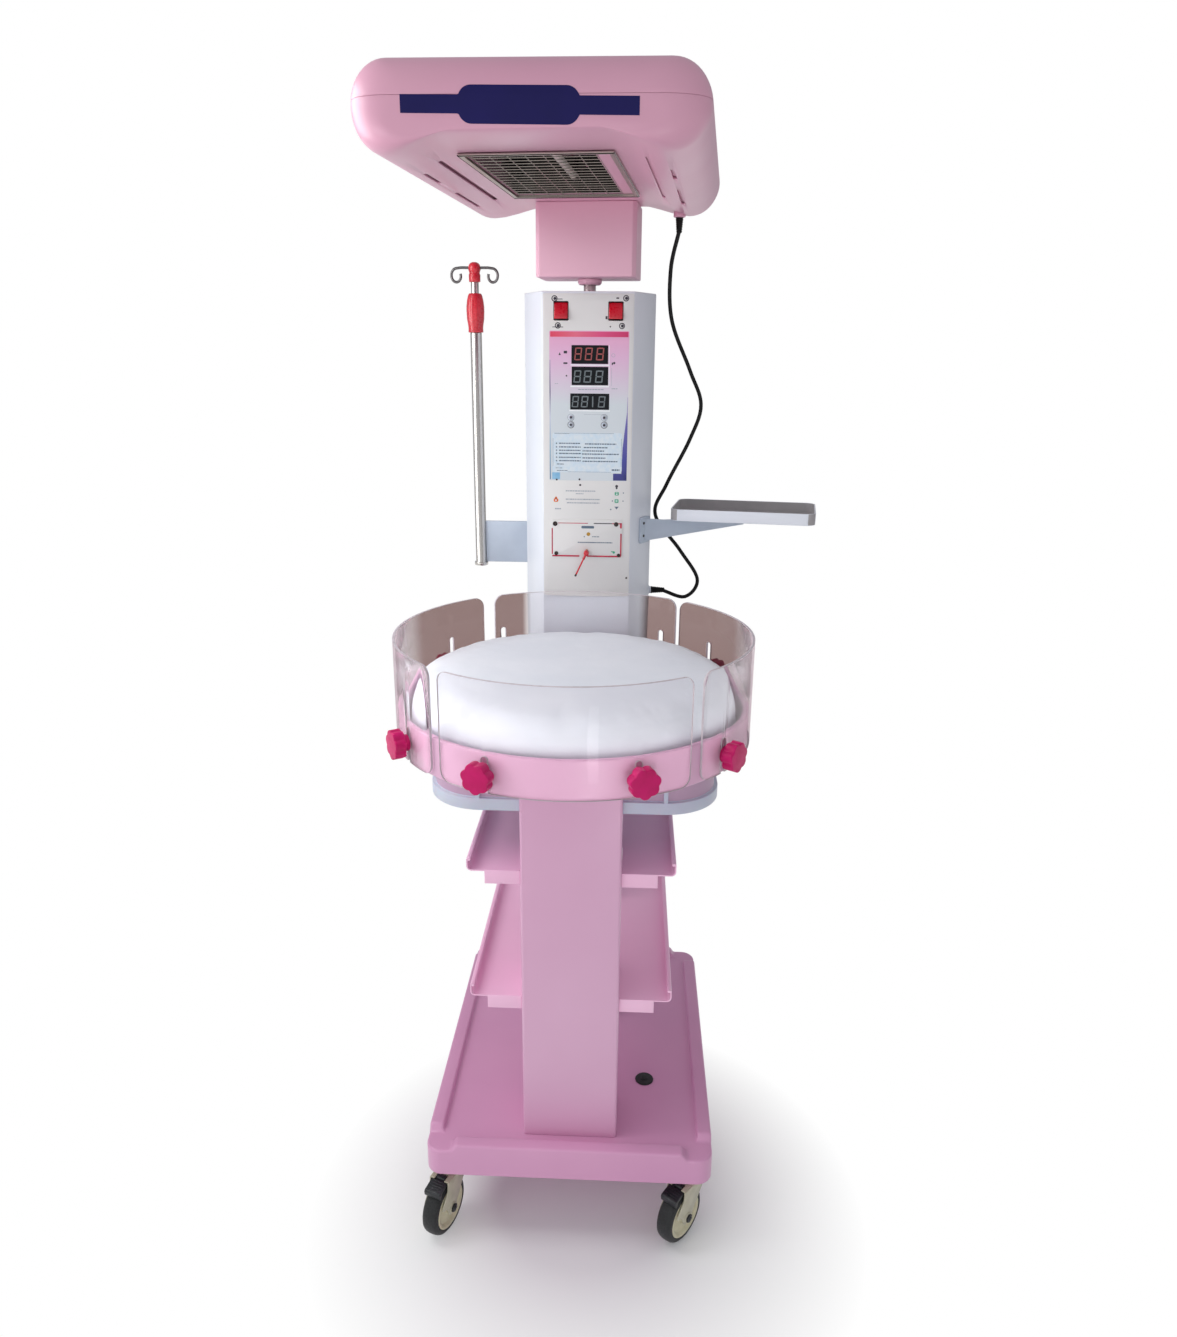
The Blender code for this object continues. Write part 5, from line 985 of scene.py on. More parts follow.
def panel_outline(side):
    """The panel laid flat: (arc length, height), rounded above, open in slots below."""
    middle, half_span = PANEL_SPANS[side]
    radius = PANEL_IN + PANEL_SHEET / 2
    half = radius * math.radians(half_span)
    r = PANEL_CORNER
    points = arc(-half + r, PANEL_LOW + r, r, r, 180, 90, 8)
    turns = [((t - middle + 180) % 360 - 180, knob_levels(t)[1]) for t in KNOB_TURNS]
    for degrees, slot_top in sorted(turns):
        if abs(degrees) < half_span:
            slot = radius * math.radians(degrees)
            points += [(slot - SLOT_HALF, PANEL_LOW),
                       *arc(slot, slot_top - SLOT_HALF, SLOT_HALF, SLOT_HALF, 180, -180, 8),
                       (slot + SLOT_HALF, PANEL_LOW)]
    points += arc(half - r, PANEL_LOW + r, r, r, -90, 90, 8)
    points += arc(half - r, PANEL_HIGH - r, r, r, 0, 90, 8)
    points += arc(-half + r, PANEL_HIGH - r, r, r, 90, 90, 8)
    return points, half


def make_panels():
    for side, (degrees, half_span) in PANEL_SPANS.items():
        outline, half = panel_outline(side)
        bm = bmesh.new()
        bm.faces.new([bm.verts.new((x, 0, z)) for x, z in outline])
        steps = round(half_span * 2 / 1.5)
        for i in range(1, steps):
            sliced(bm, (-half + 2 * half * i / steps, 0, 0), (1, 0, 0))
        welded(bm, 0.0009)
        for v in bm.verts:
            angle = v.co.x / (PANEL_IN + PANEL_SHEET / 2)
            v.co.x, v.co.y = PANEL_IN * math.sin(angle), -PANEL_IN * math.cos(angle)
        outward(bm)
        if sum(f.normal.dot(Vector((f.calc_center_median().x, f.calc_center_median().y, 0)))
               for f in bm.faces) < 0:
            bmesh.ops.reverse_faces(bm, faces=bm.faces)
        bmesh.ops.solidify(bm, geom=bm.faces, thickness=-PANEL_SHEET)
        softened(outward(bm), 0.0006, 2, 50)
        for f in bm.faces:
            middle = f.calc_center_median()
            out = Vector((middle.x, middle.y, 0)).normalized()
            f.material_index = 0 if abs(f.normal.dot(out)) > 0.93 else 1
        look = ACRYLIC_FRONT if side == "front" else ACRYLIC_SIDE
        piece("panel_sheet_" + side, bm, [look, ACRYLIC_EDGE], "panel_" + side,
              BED_PLACE @ turn(degrees, "Z"), ["panel_" + side], 30)


# Mast

def mast_outline(inset):
    depth = MAST_REAR - MAST_FRONT
    return [(-MAST_FACE + inset * 0.6, inset), (MAST_FACE - inset * 0.6, inset),
            (MAST_HALF - inset, MAST_CHAMFER + inset * 0.3), (MAST_HALF - inset, depth - inset),
            (-MAST_HALF + inset, depth - inset),
            (-MAST_HALF + inset, MAST_CHAMFER + inset * 0.3)]


def window_cutters():
    """What the switches and keys need open in the fascia and the housing behind it."""
    front, rear, half_wide, half_tall = 0.270, 0.2955, 0.0122, 0.0147
    cutters = [box((side * ROCKER_X - half_wide, front, ROCKER_Z - half_tall),
                   (side * ROCKER_X + half_wide, rear, ROCKER_Z + half_tall), 0.0015, 4, 1)
               for side in (-1, 1)]
    middle, deep = 0.2830, 0.0128
    return cutters + [placed(cylinder(BUTTON_R + HAIR, deep, -deep, 32), turn(90, "X"),
                             at(x, middle, z)) for x, z in BUTTONS.values()]


def make_mast():
    bm = prism(mast_outline(0), MAST_LOW, MAST_TOP, 0.0022, 4)
    placed(bm, at(0, MAST_FRONT, 0))
    hollow = placed(prism(mast_outline(MAST_WALL), MAST_LOW + MAST_WALL, MAST_TOP - MAST_WALL),
                    at(0, MAST_FRONT, 0))
    post = box((-POST_HALF - HAIR, POST_FRONT - HAIR, MAST_LOW - 0.01),
               (POST_HALF + HAIR, POST_REAR + HAIR, MAST_LOW + 0.01))
    pin = cylinder(PIN_R + 0.0004, MAST_TOP + 0.01, MAST_TOP - 0.01, 40)
    bm = carved(bm, hollow, post, placed(pin, at(0, PIN_Y, 0)), *window_cutters())
    gland = turned([(0.0052, 0.0060), (0.0065, 0.0048), (0.0065, 0.0020), (0.0085, 0.0018),
                    (0.0085, -0.0010)], 40, 0.0003, 2)
    placed(gland, turn(90, "Y"), at(MAST_HALF, *CORD_ROUTE[-1][1:]))
    piece("mast_housing_shell", together(bm, gland), WHITE, "stand", MAST_PLACE, ["mast_housing"])
    fascia = box((-FASCIA_HALF, FASCIA_FACE, FASCIA_LOW),
                 (FASCIA_HALF, MAST_FRONT - HAIR, FASCIA_TOP), 0.003, 6, 1, 0.0005, 2)
    piece("mast_fascia_plate", carved(fascia, *window_cutters()), FASCIA_WHITE, "stand", MAST_PLACE,
          ["mast_fascia"])
    for side, sign in (("left", -1), ("right", 1)):
        make_rocker(side, sign)
    for name, (x, z) in BUTTONS.items():
        key = spun([(0, 0.0015), (BUTTON_R * 0.6, 0.0014), (BUTTON_R * 0.92, 0.0009),
                    (BUTTON_R, 0), (BUTTON_R, -0.0045), (0, -0.0045)], 36)
        piece("key_" + name, placed(key, turn(90, "X"), at(x, FASCIA_FACE, z)), BUTTON,
              "button_" + name, MAST_PLACE, ["button_" + name], 60)


def make_rocker(side, sign):
    """A red rocker, its lower half proud, in a thin black bezel."""
    half = ROCKER_TALL / 2
    profile = [(0.006, -half * 0.7), (0.006, half * 0.7), (-0.0028, half - 0.0004)]
    for i in range(1, 6):
        t = i / 6
        profile.append((-0.0028 - 0.0062 * t - 0.0010 * math.sin(math.pi * t),
                        half - 0.0004 - (2 * half - 0.0016) * t))
    profile.append((-0.0088, -half + 0.0012))
    bm = prism(profile, -ROCKER_WIDE / 2, ROCKER_WIDE / 2, 0.0012, 3)
    pivot = at(sign * ROCKER_X, FASCIA_FACE + 0.004, ROCKER_Z)
    placed(bm, turn(90, "X"), turn(90, "Z"), pivot)
    pins = placed(cylinder(0.0012, 0.0119, -0.0119, 20), turn(90, "Y"), pivot)
    name = "rocker_" + side
    piece(name + "_cap", together(bm, pins), RED, name, MAST_PLACE, [name])
    half_wide, half_tall, wall = 0.0121, 0.0146, 0.0007
    outer = box((-half_wide, -0.0003, -half_tall), (half_wide, 0.006, half_tall), 0.0028, 6, 1,
                0.0002, 2)
    inner = box((-half_wide + wall, -0.003, -half_tall + wall),
                (half_wide - wall, 0.009, half_tall - wall), 0.0024, 6, 1)
    piece("switch_bezel_" + side, placed(carved(outer, inner),
                                         at(sign * ROCKER_X, FASCIA_FACE, ROCKER_Z)),
          ROCKER_CASE, "stand", MAST_PLACE)


# Fascia print

LAYER = 0.00006


def film(low, high, level, face=FASCIA_FACE, corner=0.0):
    """A thin rectangle of print in millimetres, (x, z) to (x, z), on a face; higher levels lie
    on lower ones."""
    (x0, z0), (x1, z1) = low, high
    front = face - LAYER * level
    return box((x0 / 1000, front - LAYER, z0 / 1000), (x1 / 1000, front, z1 / 1000), corner / 1000,
               5, 1)


def spot(x, z, radius, level, face=FASCIA_FACE, sides=24, proud=0.0):
    front = face - LAYER * level
    return placed(spun([(0, LAYER + proud), (radius / 1000, LAYER + proud * 0.6),
                        (radius / 1000, 0), (0, 0)], sides),
                  turn(90, "X"), at(x / 1000, front, z / 1000))


def shape(points):
    """A thin outline of (x, z) millimetre points, on the fascia or the label."""
    flat = prism([(x / 1000, z / 1000) for x, z in points], 0, LAYER)
    return placed(flat, turn(90, "X"), at(0, FASCIA_FACE - LAYER, 0))


def films(level, corner, *spans, face=FASCIA_FACE):
    """Rectangles of print, each from x, z to x, z."""
    return [film((x0, z0), (x1, z1), level, face, corner) for x0, z0, x1, z1 in spans]


def spots(level, *places):
    return [spot(x, z, radius, level) for x, z, radius in places]


def rings(radius, thick, *places):
    """Rings round (x, z) centres, on the fascia or the label."""
    inner, outer = (radius - thick) / 1000, radius / 1000
    return [placed(spun([(inner, LAYER), (outer, LAYER), (outer, 0), (inner, 0)], 28),
                   turn(90, "X"), at(x / 1000, FASCIA_FACE - LAYER, z / 1000)) for x, z in places]


def digit(x0, z0, x1, z1):
    """An eight of seven leaning bars, all of them, as an unlit display shows them."""
    t, gap, middle = (x1 - x0) * 0.17, 0.35, (z0 + z1) / 2
    left, right, lean = x0 + t, x1 - t, 0.10
    whole = together(*films(
        2, t * 0.35, (left, z1 - t, right, z1), (left, middle - t / 2, right, middle + t / 2),
        (left, z0, right, z0 + t), (x0, middle + gap, left, z1 - gap),
        (right, middle + gap, x1, z1 - gap), (x0, z0 + gap, left, middle - gap),
        (right, z0 + gap, x1, middle - gap)))
    for v in whole.verts:
        v.co.x += (v.co.z - middle / 1000) * lean
    return whole


def digits(*spans):
    return [digit(*span) for span in spans]


def text_line(x0, x1, z, tall, level, seed, face=FASCIA_FACE):
    """A line of print too small to read: short plain bars with gaps, as words."""
    bars, x, k = [], x0, seed
    while x < x1 - 0.8:
        k = (k * 37 + 11) % 101
        wide = 1.6 + 3.4 * (k / 101)
        end = min(x + wide, x1)
        bars.append(film((x, z - tall / 2), (end, z + tall / 2), level, face))
        x = end + 0.7
    return bars


def text_lines(level, *rows, face=FASCIA_FACE):
    """Lines of print, each from x to x at a height, so tall, with its own seed."""
    return [bar for x0, x1, z, tall, seed in rows
            for bar in text_line(x0, x1, z, tall, level, seed, face)]


def make_print():
    """The fascia's label, displays, marks and the sensor plate's print."""
    label_pink = graded("label_film_fading_pink_to_grey", "Z", (
        (1.400, "#D3DBE0"), (1.440, "#DCC9DC"), (1.475, "#E3B8D8"), (1.515, "#E9A9CC")))
    strip = graded("label_top_strip", "X", (
        (BED.x + MAST_X - 0.061, "#E4405F"), (BED.x + MAST_X - 0.020, "#E66A86"),
        (BED.x + MAST_X + 0.020, "#DE4A80"), (BED.x + MAST_X + 0.063, "#CC2D66")))
    indigo = graded("label_indigo_border", "Z", (
        (1.276, "#2C2E7C"), (1.310, "#3D3F97"), (1.370, "#6A63AE"), (1.408, "#B9A9CE")))
    rim_left = graded("label_left_rule", "Z", (
        (1.276, "#2F6796"), (1.330, "#86AEC9"), (1.380, "#C9CDE0"), (1.420, "#54427C"),
        (1.470, "#BFA3C8")))
    window, tree, shader = surface("display_window", "black_plastic", Roughness=0.35,
                                   Specular_IOR_Level=0.12)
    link(tree, shader, Base_Color=mixed(tree, lumps(tree, 0.02, 2), linear("#191C20"),
                                        linear("#101316")))
    unlit_red = printed("display_bars_unlit_red", "#A8504F", "#96494A")
    unlit_grey = printed("display_bars_unlit_grey", "#737D81", "#636D71")
    box_blue = printed("label_instruction_blue", "#CFE0EC", "#DCE6EC")
    grey_blue = printed("label_small_print", "#4C6074", "#5F7286")
    plain_dark = printed("label_dark_marks", "#2B2530", "#3A3440")
    sky = printed("label_sky_block", "#7FB6DA", "#92C2E0")
    green = printed("label_green_mark", "#2F9A74", "#45A987")
    orange = printed("label_orange_mark", "#E5762E", "#DB6420")
    faint = printed("label_faint_print", "#9AA2AD", "#A9B0BA")
    red_ink = printed("plate_red_rule", "#C3173F", "#A81238")
    white_ink = printed("label_white_print", "#F4F6F8", "#ECEFF3")
    gold = printed("plate_gold_mark", "#B4892F", "#9A7426", Metallic=0.3)

    def ink(name, look, bms, body="stand"):
        piece(name, together(*bms), look, body, MAST_PLACE)

    ink("label_film", label_pink, films(0, 2.2, (-63, 1276.5, 66.4, 1515)))
    ink("label_strip", strip, films(1, 0.8, (-61.5, 1505.5, 65, 1513.7)))
    ink("label_border", indigo, [
        shape([(63.6, 1278), (66.2, 1278), (66.2, 1412), (65.2, 1412)]),
        shape([(57.2, 1289), (63.8, 1278), (65.0, 1390), (58.6, 1330)]),
        *films(1, 0.6, (43.5, 1277, 66.2, 1288.5))])
    ink("label_left_edge", rim_left, films(1, 0, (-62.8, 1278, -61.2, 1470)))
    ink("label_sky_patch", sky, films(1, 0.5, (-58.8, 1278.2, -45.5, 1289.6)))
    ink("display_windows", window, films(
        1, 0.8, (-27, 1464, 32.7, 1493), (-26.5, 1430.7, 33.2, 1459.6),
        (-28.8, 1392, 35.3, 1417.6)))
    ink("display_window_rims", white_ink, films(
        1, 0, (-28.4, 1461.2, 34.2, 1463.2), (-28.4, 1427.6, 34.6, 1429.8),
        (34.0, 1430, 35.0, 1493), (-30.5, 1389.2, 36.8, 1391.2)))
    ink("display_bars_upper", unlit_red, digits(
        (-21.6, 1469.5, -10.4, 1489.3), (-4.6, 1469.5, 6.9, 1489.3), (13.6, 1469.5, 25.6, 1489.3)))
    ink("display_bars_lower", unlit_grey, digits(
        (-22.8, 1434.6, -11.5, 1454), (-6.4, 1434.6, 5.6, 1454), (12.4, 1434.6, 24.6, 1454),
        (-25.5, 1395.6, -15, 1413.6), (-10.5, 1395.6, 0.5, 1413.6), (17.5, 1395.6, 28.5, 1413.6))
        + films(2, 0, (7.2, 1396, 9.2, 1413)))
    ink("label_marks", plain_dark, [
        shape([(-48, 1477.4), (-44.2, 1477.4), (-46, 1481.8)]),
        *films(1, 0.6, (-39.6, 1480, -34, 1484)),
        *films(1, 0.5, (-40, 1463.6, -33.4, 1466.2), (38.6, 1462.6, 40.6, 1466.4)),
        *spots(1, (-35, 1445.3, 1.3), (42.6, 1465.6, 1.8), (-11.6, 1269, 1.8),
               (49.8, 1267.6, 2.4), (49.8, 1264.4, 1.6)),
        *spots(2, (-12.8, 1278.4, 1.7), (-51.2, 1277.6, 1.6)),
        *rings(5.6, 0.8, (27.5, 1367.5), (-27.5, 1367.5))])
    ink("label_faint_marks", faint, [
        *rings(2.9, 0.5, (41, 1477.5)),
        *rings(5.8, 0.8, (-27.5, 1379.5), (27.5, 1379.5)),
        *films(1, 0, (38.4, 1430, 38.8, 1458), (-6, 1384, 30, 1384.4)),
        *text_lines(1, (-16, 26, 1424, 1.4, 5), (-54, -49, 1432.8, 0.8, 3),
                    (39, 49, 1425.5, 1.3, 8), (-36, 14, 1259, 1.7, 9), (-19, -5, 1254.4, 1.4, 4),
                    (-36, 22, 1245, 1.8, 7), (-34, 21, 1239, 1.8, 2),
                    (-54, -44, 1228.8, 2.2, 6))])
    marks = films(1, 0.6, (44.5, 1563.4, 49, 1565.6), (27.6, 1532.8, 31, 1537.4))
    marks += films(1, 0, (-50.5, 1562.2, -41.5, 1563.2), (-58, 1520, -40.5, 1521))
    marks += spots(1, (35.6, 1521.5, 1.2))
    for x, z in ((-54.4, 1563.6), (60.1, 1564.4), (-49.1, 1522.8), (54.2, 1522.6)):
        marks += rings(4.8, 1.5, (x, z)) + spots(1, (x + 0.6, z, 2.4))
    ink("fascia_switch_marks", plain_dark, marks)
    ink("instruction_panel", box_blue, films(2, 4, (-58.3, 1289.9, 57.8, 1354.9)))
    lines = text_lines(3, (-51, -39, 1303.4, 1.4, 5), (-51, -33, 1292.8, 1.2, 4),
                       (41, 55, 1294.5, 2.6, 2), (-53, -42, 1297, 0.8, 7))
    lines += films(3, 0, (-55, 1353.2, -30, 1354.0), (-30, 1353.8, 44, 1354.2),
                   (-33, 1290.6, 40, 1291.0), (56.4, 1300, 56.8, 1346), (-57.4, 1300, -57, 1346))
    for k, (z, start, end) in enumerate(((1337.4, -4, 48), (1331.5, -6, 35), (1326, -8, 28),
                                         (1320.9, -9, 52.4), (1314.5, -8, 30.4),
                                         (1309, -8, 50.5))):
        lines += text_lines(3, (-47.3, -11, z, 1.9, k + 2), (start, end, z - 0.6, 1.9, k + 9))
        lines.append(spot(-51.4, z, 1.2, 3, sides=12))
    ink("instruction_lines", grey_blue, lines)
    ink("mark_green", green, [
        *films(1, 1.6, (46.8, 1252.2, 53.6, 1258.2), (46.6, 1239.8, 53.4, 1246.0)),
        *films(1, 0.5, (42, 1156, 45, 1157.6), face=PLATE_FACE),
        spot(46.7, 1155.4, 2.2, 1, PLATE_FACE)])
    ink("mark_orange", orange, films(1, 2.4, (-56.4, 1240.2, -48.6, 1246.2))
        + spots(1, (-52.4, 1247.0, 2.0)))
    ink("mark_white", white_ink, spots(2, (-52.6, 1243.0, 1.4)) + films(
        2, 0, (48.9, 1253.4, 51.6, 1254.6), (48.9, 1256.0, 51.6, 1257.0),
        (48.4, 1241.6, 51.6, 1242.4), (48.4, 1243.8, 51.6, 1244.6)))
    ink("mark_blue", grey_blue, [
        shape([(46.6, 1233.4), (53.8, 1233.4), (50.2, 1228.8)]),
        *spots(1, (40.4, 1228.6, 1.2), (61, 1243, 1.0), (61.4, 1256.6, 1.0), (43, 1243, 1.0))])
    for name, (x, z) in BUTTONS.items():
        ink("key_mark_" + name, plain_dark, [spot(x * 1000, z * 1000, 2.1, 25)], "button_" + name)
    ink("plate_red_frame", red_ink, [
        film((x0, z0), (x1, z1), 1, PLATE_FACE, corner) for x0, z0, x1, z1, corner in (
            (-59.9, 1151, -57.9, 1196, 0.8), (-59, 1147.1, -12, 1149.8, 1),
            (0.6, 1147.1, 59, 1149.8, 1), (57.4, 1149, 59.8, 1188, 0.8),
            (-48.8, 1204.2, 2.1, 1205.4, 0.4), (43, 1204, 58, 1205.6, 0.5),
            (56.6, 1196.8, 59.8, 1206.2, 1.4))])
    ink("plate_dark_rule", plain_dark, films(1, 0.4, (12, 1204.0, 43, 1205.6), face=PLATE_FACE))
    ink("plate_print", grey_blue, [
        *films(1, 1.4, (-9, 1196, 12.5, 1200.4), face=PLATE_FACE),
        *text_lines(1, (-15, 44, 1172, 1.8, 6), (9.4, 21.5, 1182, 1.3, 3), face=PLATE_FACE),
        spot(-4, 1181.8, 1, 1, PLATE_FACE)])
    ink("plate_gold", gold, [spot(3, 1186.4, 3.2, 1, PLATE_FACE, proud=0.0004),
                             spot(0.4, 1158.4, 1.8, 1, PLATE_FACE, proud=0.0003)])


def make_plate_screws():
    """Four slotted screws at the sensor plate's corners, and a small one beside it."""
    small = turned([(0.0010, 0.0010), (0.0017, 0.0004), (0.0017, 0)], 20)
    screws = [placed(small, turn(90, "X"), at(0.069, FASCIA_FACE, 1.111))]
    for x, z, radius in ((-0.0538, 1.2035, 0.0040), (0.0501, 1.2037, 0.0038),
                         (-0.052, 1.1528, 0.0034), (0.0550, 1.1506, 0.0030)):
        head = turned([(radius * 0.6, 0.0014), (radius, 0.0006), (radius, 0)], 28)
        slot = box((-radius * 0.8, -0.0004, 0.0009), (radius * 0.8, 0.0004, 0.003))
        screws.append(placed(carved(head, slot), turn(90, "X"), at(x, PLATE_FACE, z)))
    piece("plate_screws", together(*screws), SCREW, "stand", MAST_PLACE)


def make_sensor_plate():
    """The plate, with its jack and the red lead that leans down from it."""
    plate = box((-PLATE_HALF, PLATE_FACE, PLATE_LOW), (PLATE_HALF, FASCIA_FACE - HAIR, PLATE_HIGH),
                0.003, 6, 1, 0.0003, 2)
    piece("sensor_plate_sheet", plate, FASCIA_WHITE, "stand", MAST_PLACE, ["sensor_plate"])
    front = PLATE_FACE - HAIR
    jack = turned([(0.0034, 0.012), (0.0045, 0.0105), (0.0045, 0.003), (0.0038, 0.0026),
                   (0.0038, 0.0006), (0.0045, 0)], 32, 0.0003, 2)
    placed(jack, turn(90, "X"), at(0, front, JACK_Z))
    begin = Vector((0, front - 0.0084, JACK_Z))
    lean = math.radians(25)
    along = Vector((-math.sin(lean), 0, -math.cos(lean)))
    lead = wired([begin, begin + along * 0.022, begin + along * 0.044], 0.0014)
    collar = wired([begin + along * 0.002, begin + along * 0.012], 0.0021)
    piece("sensor_jack_and_lead", together(jack, lead, collar), RED, "stand", MAST_PLACE,
          ["sensor_jack"])
    tip = wired([begin + along * 0.0405, begin + along * 0.0444], 0.0018)
    piece("sensor_lead_tip", tip, SCREW, "stand", MAST_PLACE)


# Heater head

def head_outline():
    """The head's cross-section, right half then left: flat underside, lobes, round ends."""
    middle, tall = (HEAD_LOBE + HEAD_TOP) / 2, (HEAD_TOP - HEAD_LOBE) / 2
    reach, flat = HEAD_HALF - HEAD_LOBE_X, 0.098
    right = [(0.035, HEAD_UNDER), (0.070, HEAD_UNDER), (0.096, HEAD_UNDER)]
    for i in range(1, 7):
        t = i / 7
        ease = t * t * (3 - 2 * t)
        right.append((flat + (HEAD_LOBE_X - flat) * t,
                      HEAD_UNDER + (HEAD_LOBE - HEAD_UNDER) * ease))
    right += arc(HEAD_LOBE_X, middle, reach, tall, -90, 180, 24)
    right += [(0.12, HEAD_TOP), (0.08, HEAD_TOP), (0.04, HEAD_TOP)]
    return right + [(-x, z) for x, z in reversed(right)]


def head_section(inset, shrink):
    """The matrix that carries the full cross-section to a section nearer the head's ends."""
    side = inset + HEAD_ROUND["x"] * shrink
    low = inset + HEAD_ROUND["low"] * shrink
    high = inset + HEAD_ROUND["top"] * shrink
    wide = (HEAD_HALF - side) / HEAD_HALF
    tall = (HEAD_TOP - HEAD_LOBE - low - high) / (HEAD_TOP - HEAD_LOBE)
    return (at(0, 0, HEAD_LOBE + low) @ Matrix.Diagonal((wide, 1, tall, 1))
            @ at(0, 0, -HEAD_LOBE))


def leaned(bm):
    """The head's crown sits a little lower on the right than on the left."""
    for v in bm.verts:
        share = min(max((v.co.z - HEAD_UNDER) / 0.05, 0), 1)
        v.co.z -= 0.021 * v.co.x * share * share * (3 - 2 * share)
    return bm


def head_form(inset):
    """The cross-section extruded from the rounded front to the rounded rear."""
    steps = 12
    front, rear = HEAD_FRONT + inset, HEAD_REAR - inset
    sections = []
    for i in range(steps + 1):
        angle = math.pi / 2 * i / steps
        sections.append((front + HEAD_ROUND["y"] * (1 - math.cos(angle)), 1 - math.sin(angle)))
    sections += [(rear - (y - front), shrink) for y, shrink in reversed(sections)]
    bm = bmesh.new()
    verts = [bm.verts.new((x, 0, z)) for x, z in head_outline()]
    edges = [bm.edges.new(pair) for pair in zip(verts, verts[1:] + verts[:1])]
    bm.faces.new(verts)
    last = at(0, sections[0][0], 0) @ head_section(inset, sections[0][1])
    bmesh.ops.transform(bm, matrix=last, verts=verts)
    for y, shrink in sections[1:]:
        moved = bmesh.ops.extrude_edge_only(bm, edges=edges)["geom"]
        verts = [g for g in moved if isinstance(g, bmesh.types.BMVert)]
        edges = [g for g in moved if isinstance(g, bmesh.types.BMEdge)]
        goal = at(0, y, 0) @ head_section(inset, shrink)
        bmesh.ops.transform(bm, matrix=goal @ last.inverted(), verts=verts)
        last = goal
    bmesh.ops.contextual_create(bm, geom=edges)
    return outward(bm)


def make_head():
    far = 0.5
    mouth = FRAME_LIP - 0.0015
    seam = 0.0002
    cutters = [head_form(HEAD_SHEET),
               box((-far, HEAD_FRONT - far, HEAD_SEAM - seam),
                   (far, HEAD_REAR + far, HEAD_TOP + far)),
               box((FRAME_LEFT + mouth, FRAME_FRONT + mouth, HEAD_UNDER - 0.02),
                   (FRAME_RIGHT - mouth, FRAME_REAR - mouth, HEAD_UNDER + 0.02))]
    vent_half = 0.0026
    for x, low, high in VENTS:
        for side in (-1, 1):
            cutters.append(box((side * x - vent_half, low, HEAD_LOBE - 0.01),
                               (side * x + vent_half, high, HEAD_UNDER + 0.012), 0.0025, 6))
    lower = leaned(carved(head_form(0), *cutters))
    softened(lower, 0.0006, 2, 50)
    spin = Matrix.Rotation(-HEAD_TURN, 3, "Z")
    cord_x, cord_y = CORD_ROUTE[0][:2]
    exit_at = spin @ Vector((cord_x - MAST_X, cord_y - PIN_Y, 0))
    gland = placed(turned([(0.0095, 0.006), (0.0095, -0.0016), (0.0072, -0.0026)], 36, 0.0004, 2),
                   at(exit_at.x, exit_at.y, HEAD_LOBE))
    piece("head_lower_skin", together(lower, gland), HEAD_PINK, "head", HEAD_PLACE,
          ["head_lower_shell"], 40)
    upper = carved(head_form(0), head_form(HEAD_SHEET),
                   box((-far, HEAD_FRONT - far, HEAD_LOBE - far),
                       (far, HEAD_REAR + far, HEAD_SEAM + seam)))
    softened(leaned(upper), 0.0006, 2, 50)
    piece("head_upper_skin", upper, HEAD_PINK, "head", HEAD_PLACE, ["head_upper_shell"], 40)


def make_vent_baffles():
    """Sheets inside the shells that close the vents from sight; the right lies close, the left is
    painted shade.
    """
    aside, front, rear, below, above = 0.5, -0.6, 0.1, 1.6, 1.9
    inner, first, last = 0.116, -0.440, -0.100
    for side, inset, look in ((-1, 0.0075, VENT_PAINTED_SHADE), (1, 0.0040, HEAD_PINK)):
        bm = carved(head_form(inset), head_form(inset + 0.001),
                    box((side * inner, front, below), (-side * aside, rear, above)),
                    box((-aside, front, HEAD_UNDER + 0.006), (aside, rear, above)),
                    box((-aside, front, below), (aside, first, above)),
                    box((-aside, last, below), (aside, rear, above)))
        piece("vent_baffle_" + ("left" if side < 0 else "right"), bm, look, "head", HEAD_PLACE)


def make_head_band():
    """A blank dark blue band with a rounded plaque at its middle, wrapped on the head's front."""
    tree = BVHTree.FromBMesh(leaned(head_form(0)))
    left, right, band = -0.1360, 0.1269, 0.0092
    pill_left, pill_right, pill = -0.0715, 0.0632, 0.0190
    left_z, right_z = 1.7355, 1.7276

    def middle(x):
        return left_z + (x - left) / (right - left) * (right_z - left_z)

    def half(x):
        if not pill_left < x < pill_right:
            return band
        inner = min(x - pill_left, pill_right - x)
        bend = 0.0150
        if inner >= bend:
            return pill
        return max(band, pill - bend + math.sqrt(bend ** 2 - (bend - inner) ** 2))

    bm = bmesh.new()
    bmesh.ops.create_grid(bm, x_segments=176, y_segments=8, size=0.5)
    for v in bm.verts:
        x = left + (v.co.x + 0.5) * (right - left)
        z = middle(x) + v.co.y * 2 * half(x)
        hit = tree.ray_cast(Vector((x, HEAD_FRONT - 0.2, z)), Vector((0, 1, 0)))[0]
        v.co = Vector((x, hit.y - 0.00025, z))
    outward(bm)
    if sum(f.normal.y for f in bm.faces) > 0:
        bmesh.ops.reverse_faces(bm, faces=bm.faces)
    navy = skin("navy_vinyl_band", "pink_paint", "#0E0850", "#120B57", 0.08, (0.38, 0.44), 0.002,
                0.000006, Specular_IOR_Level=0.25)
    piece("head_front_band", bm, navy, "head", HEAD_PLACE, smooth=60)


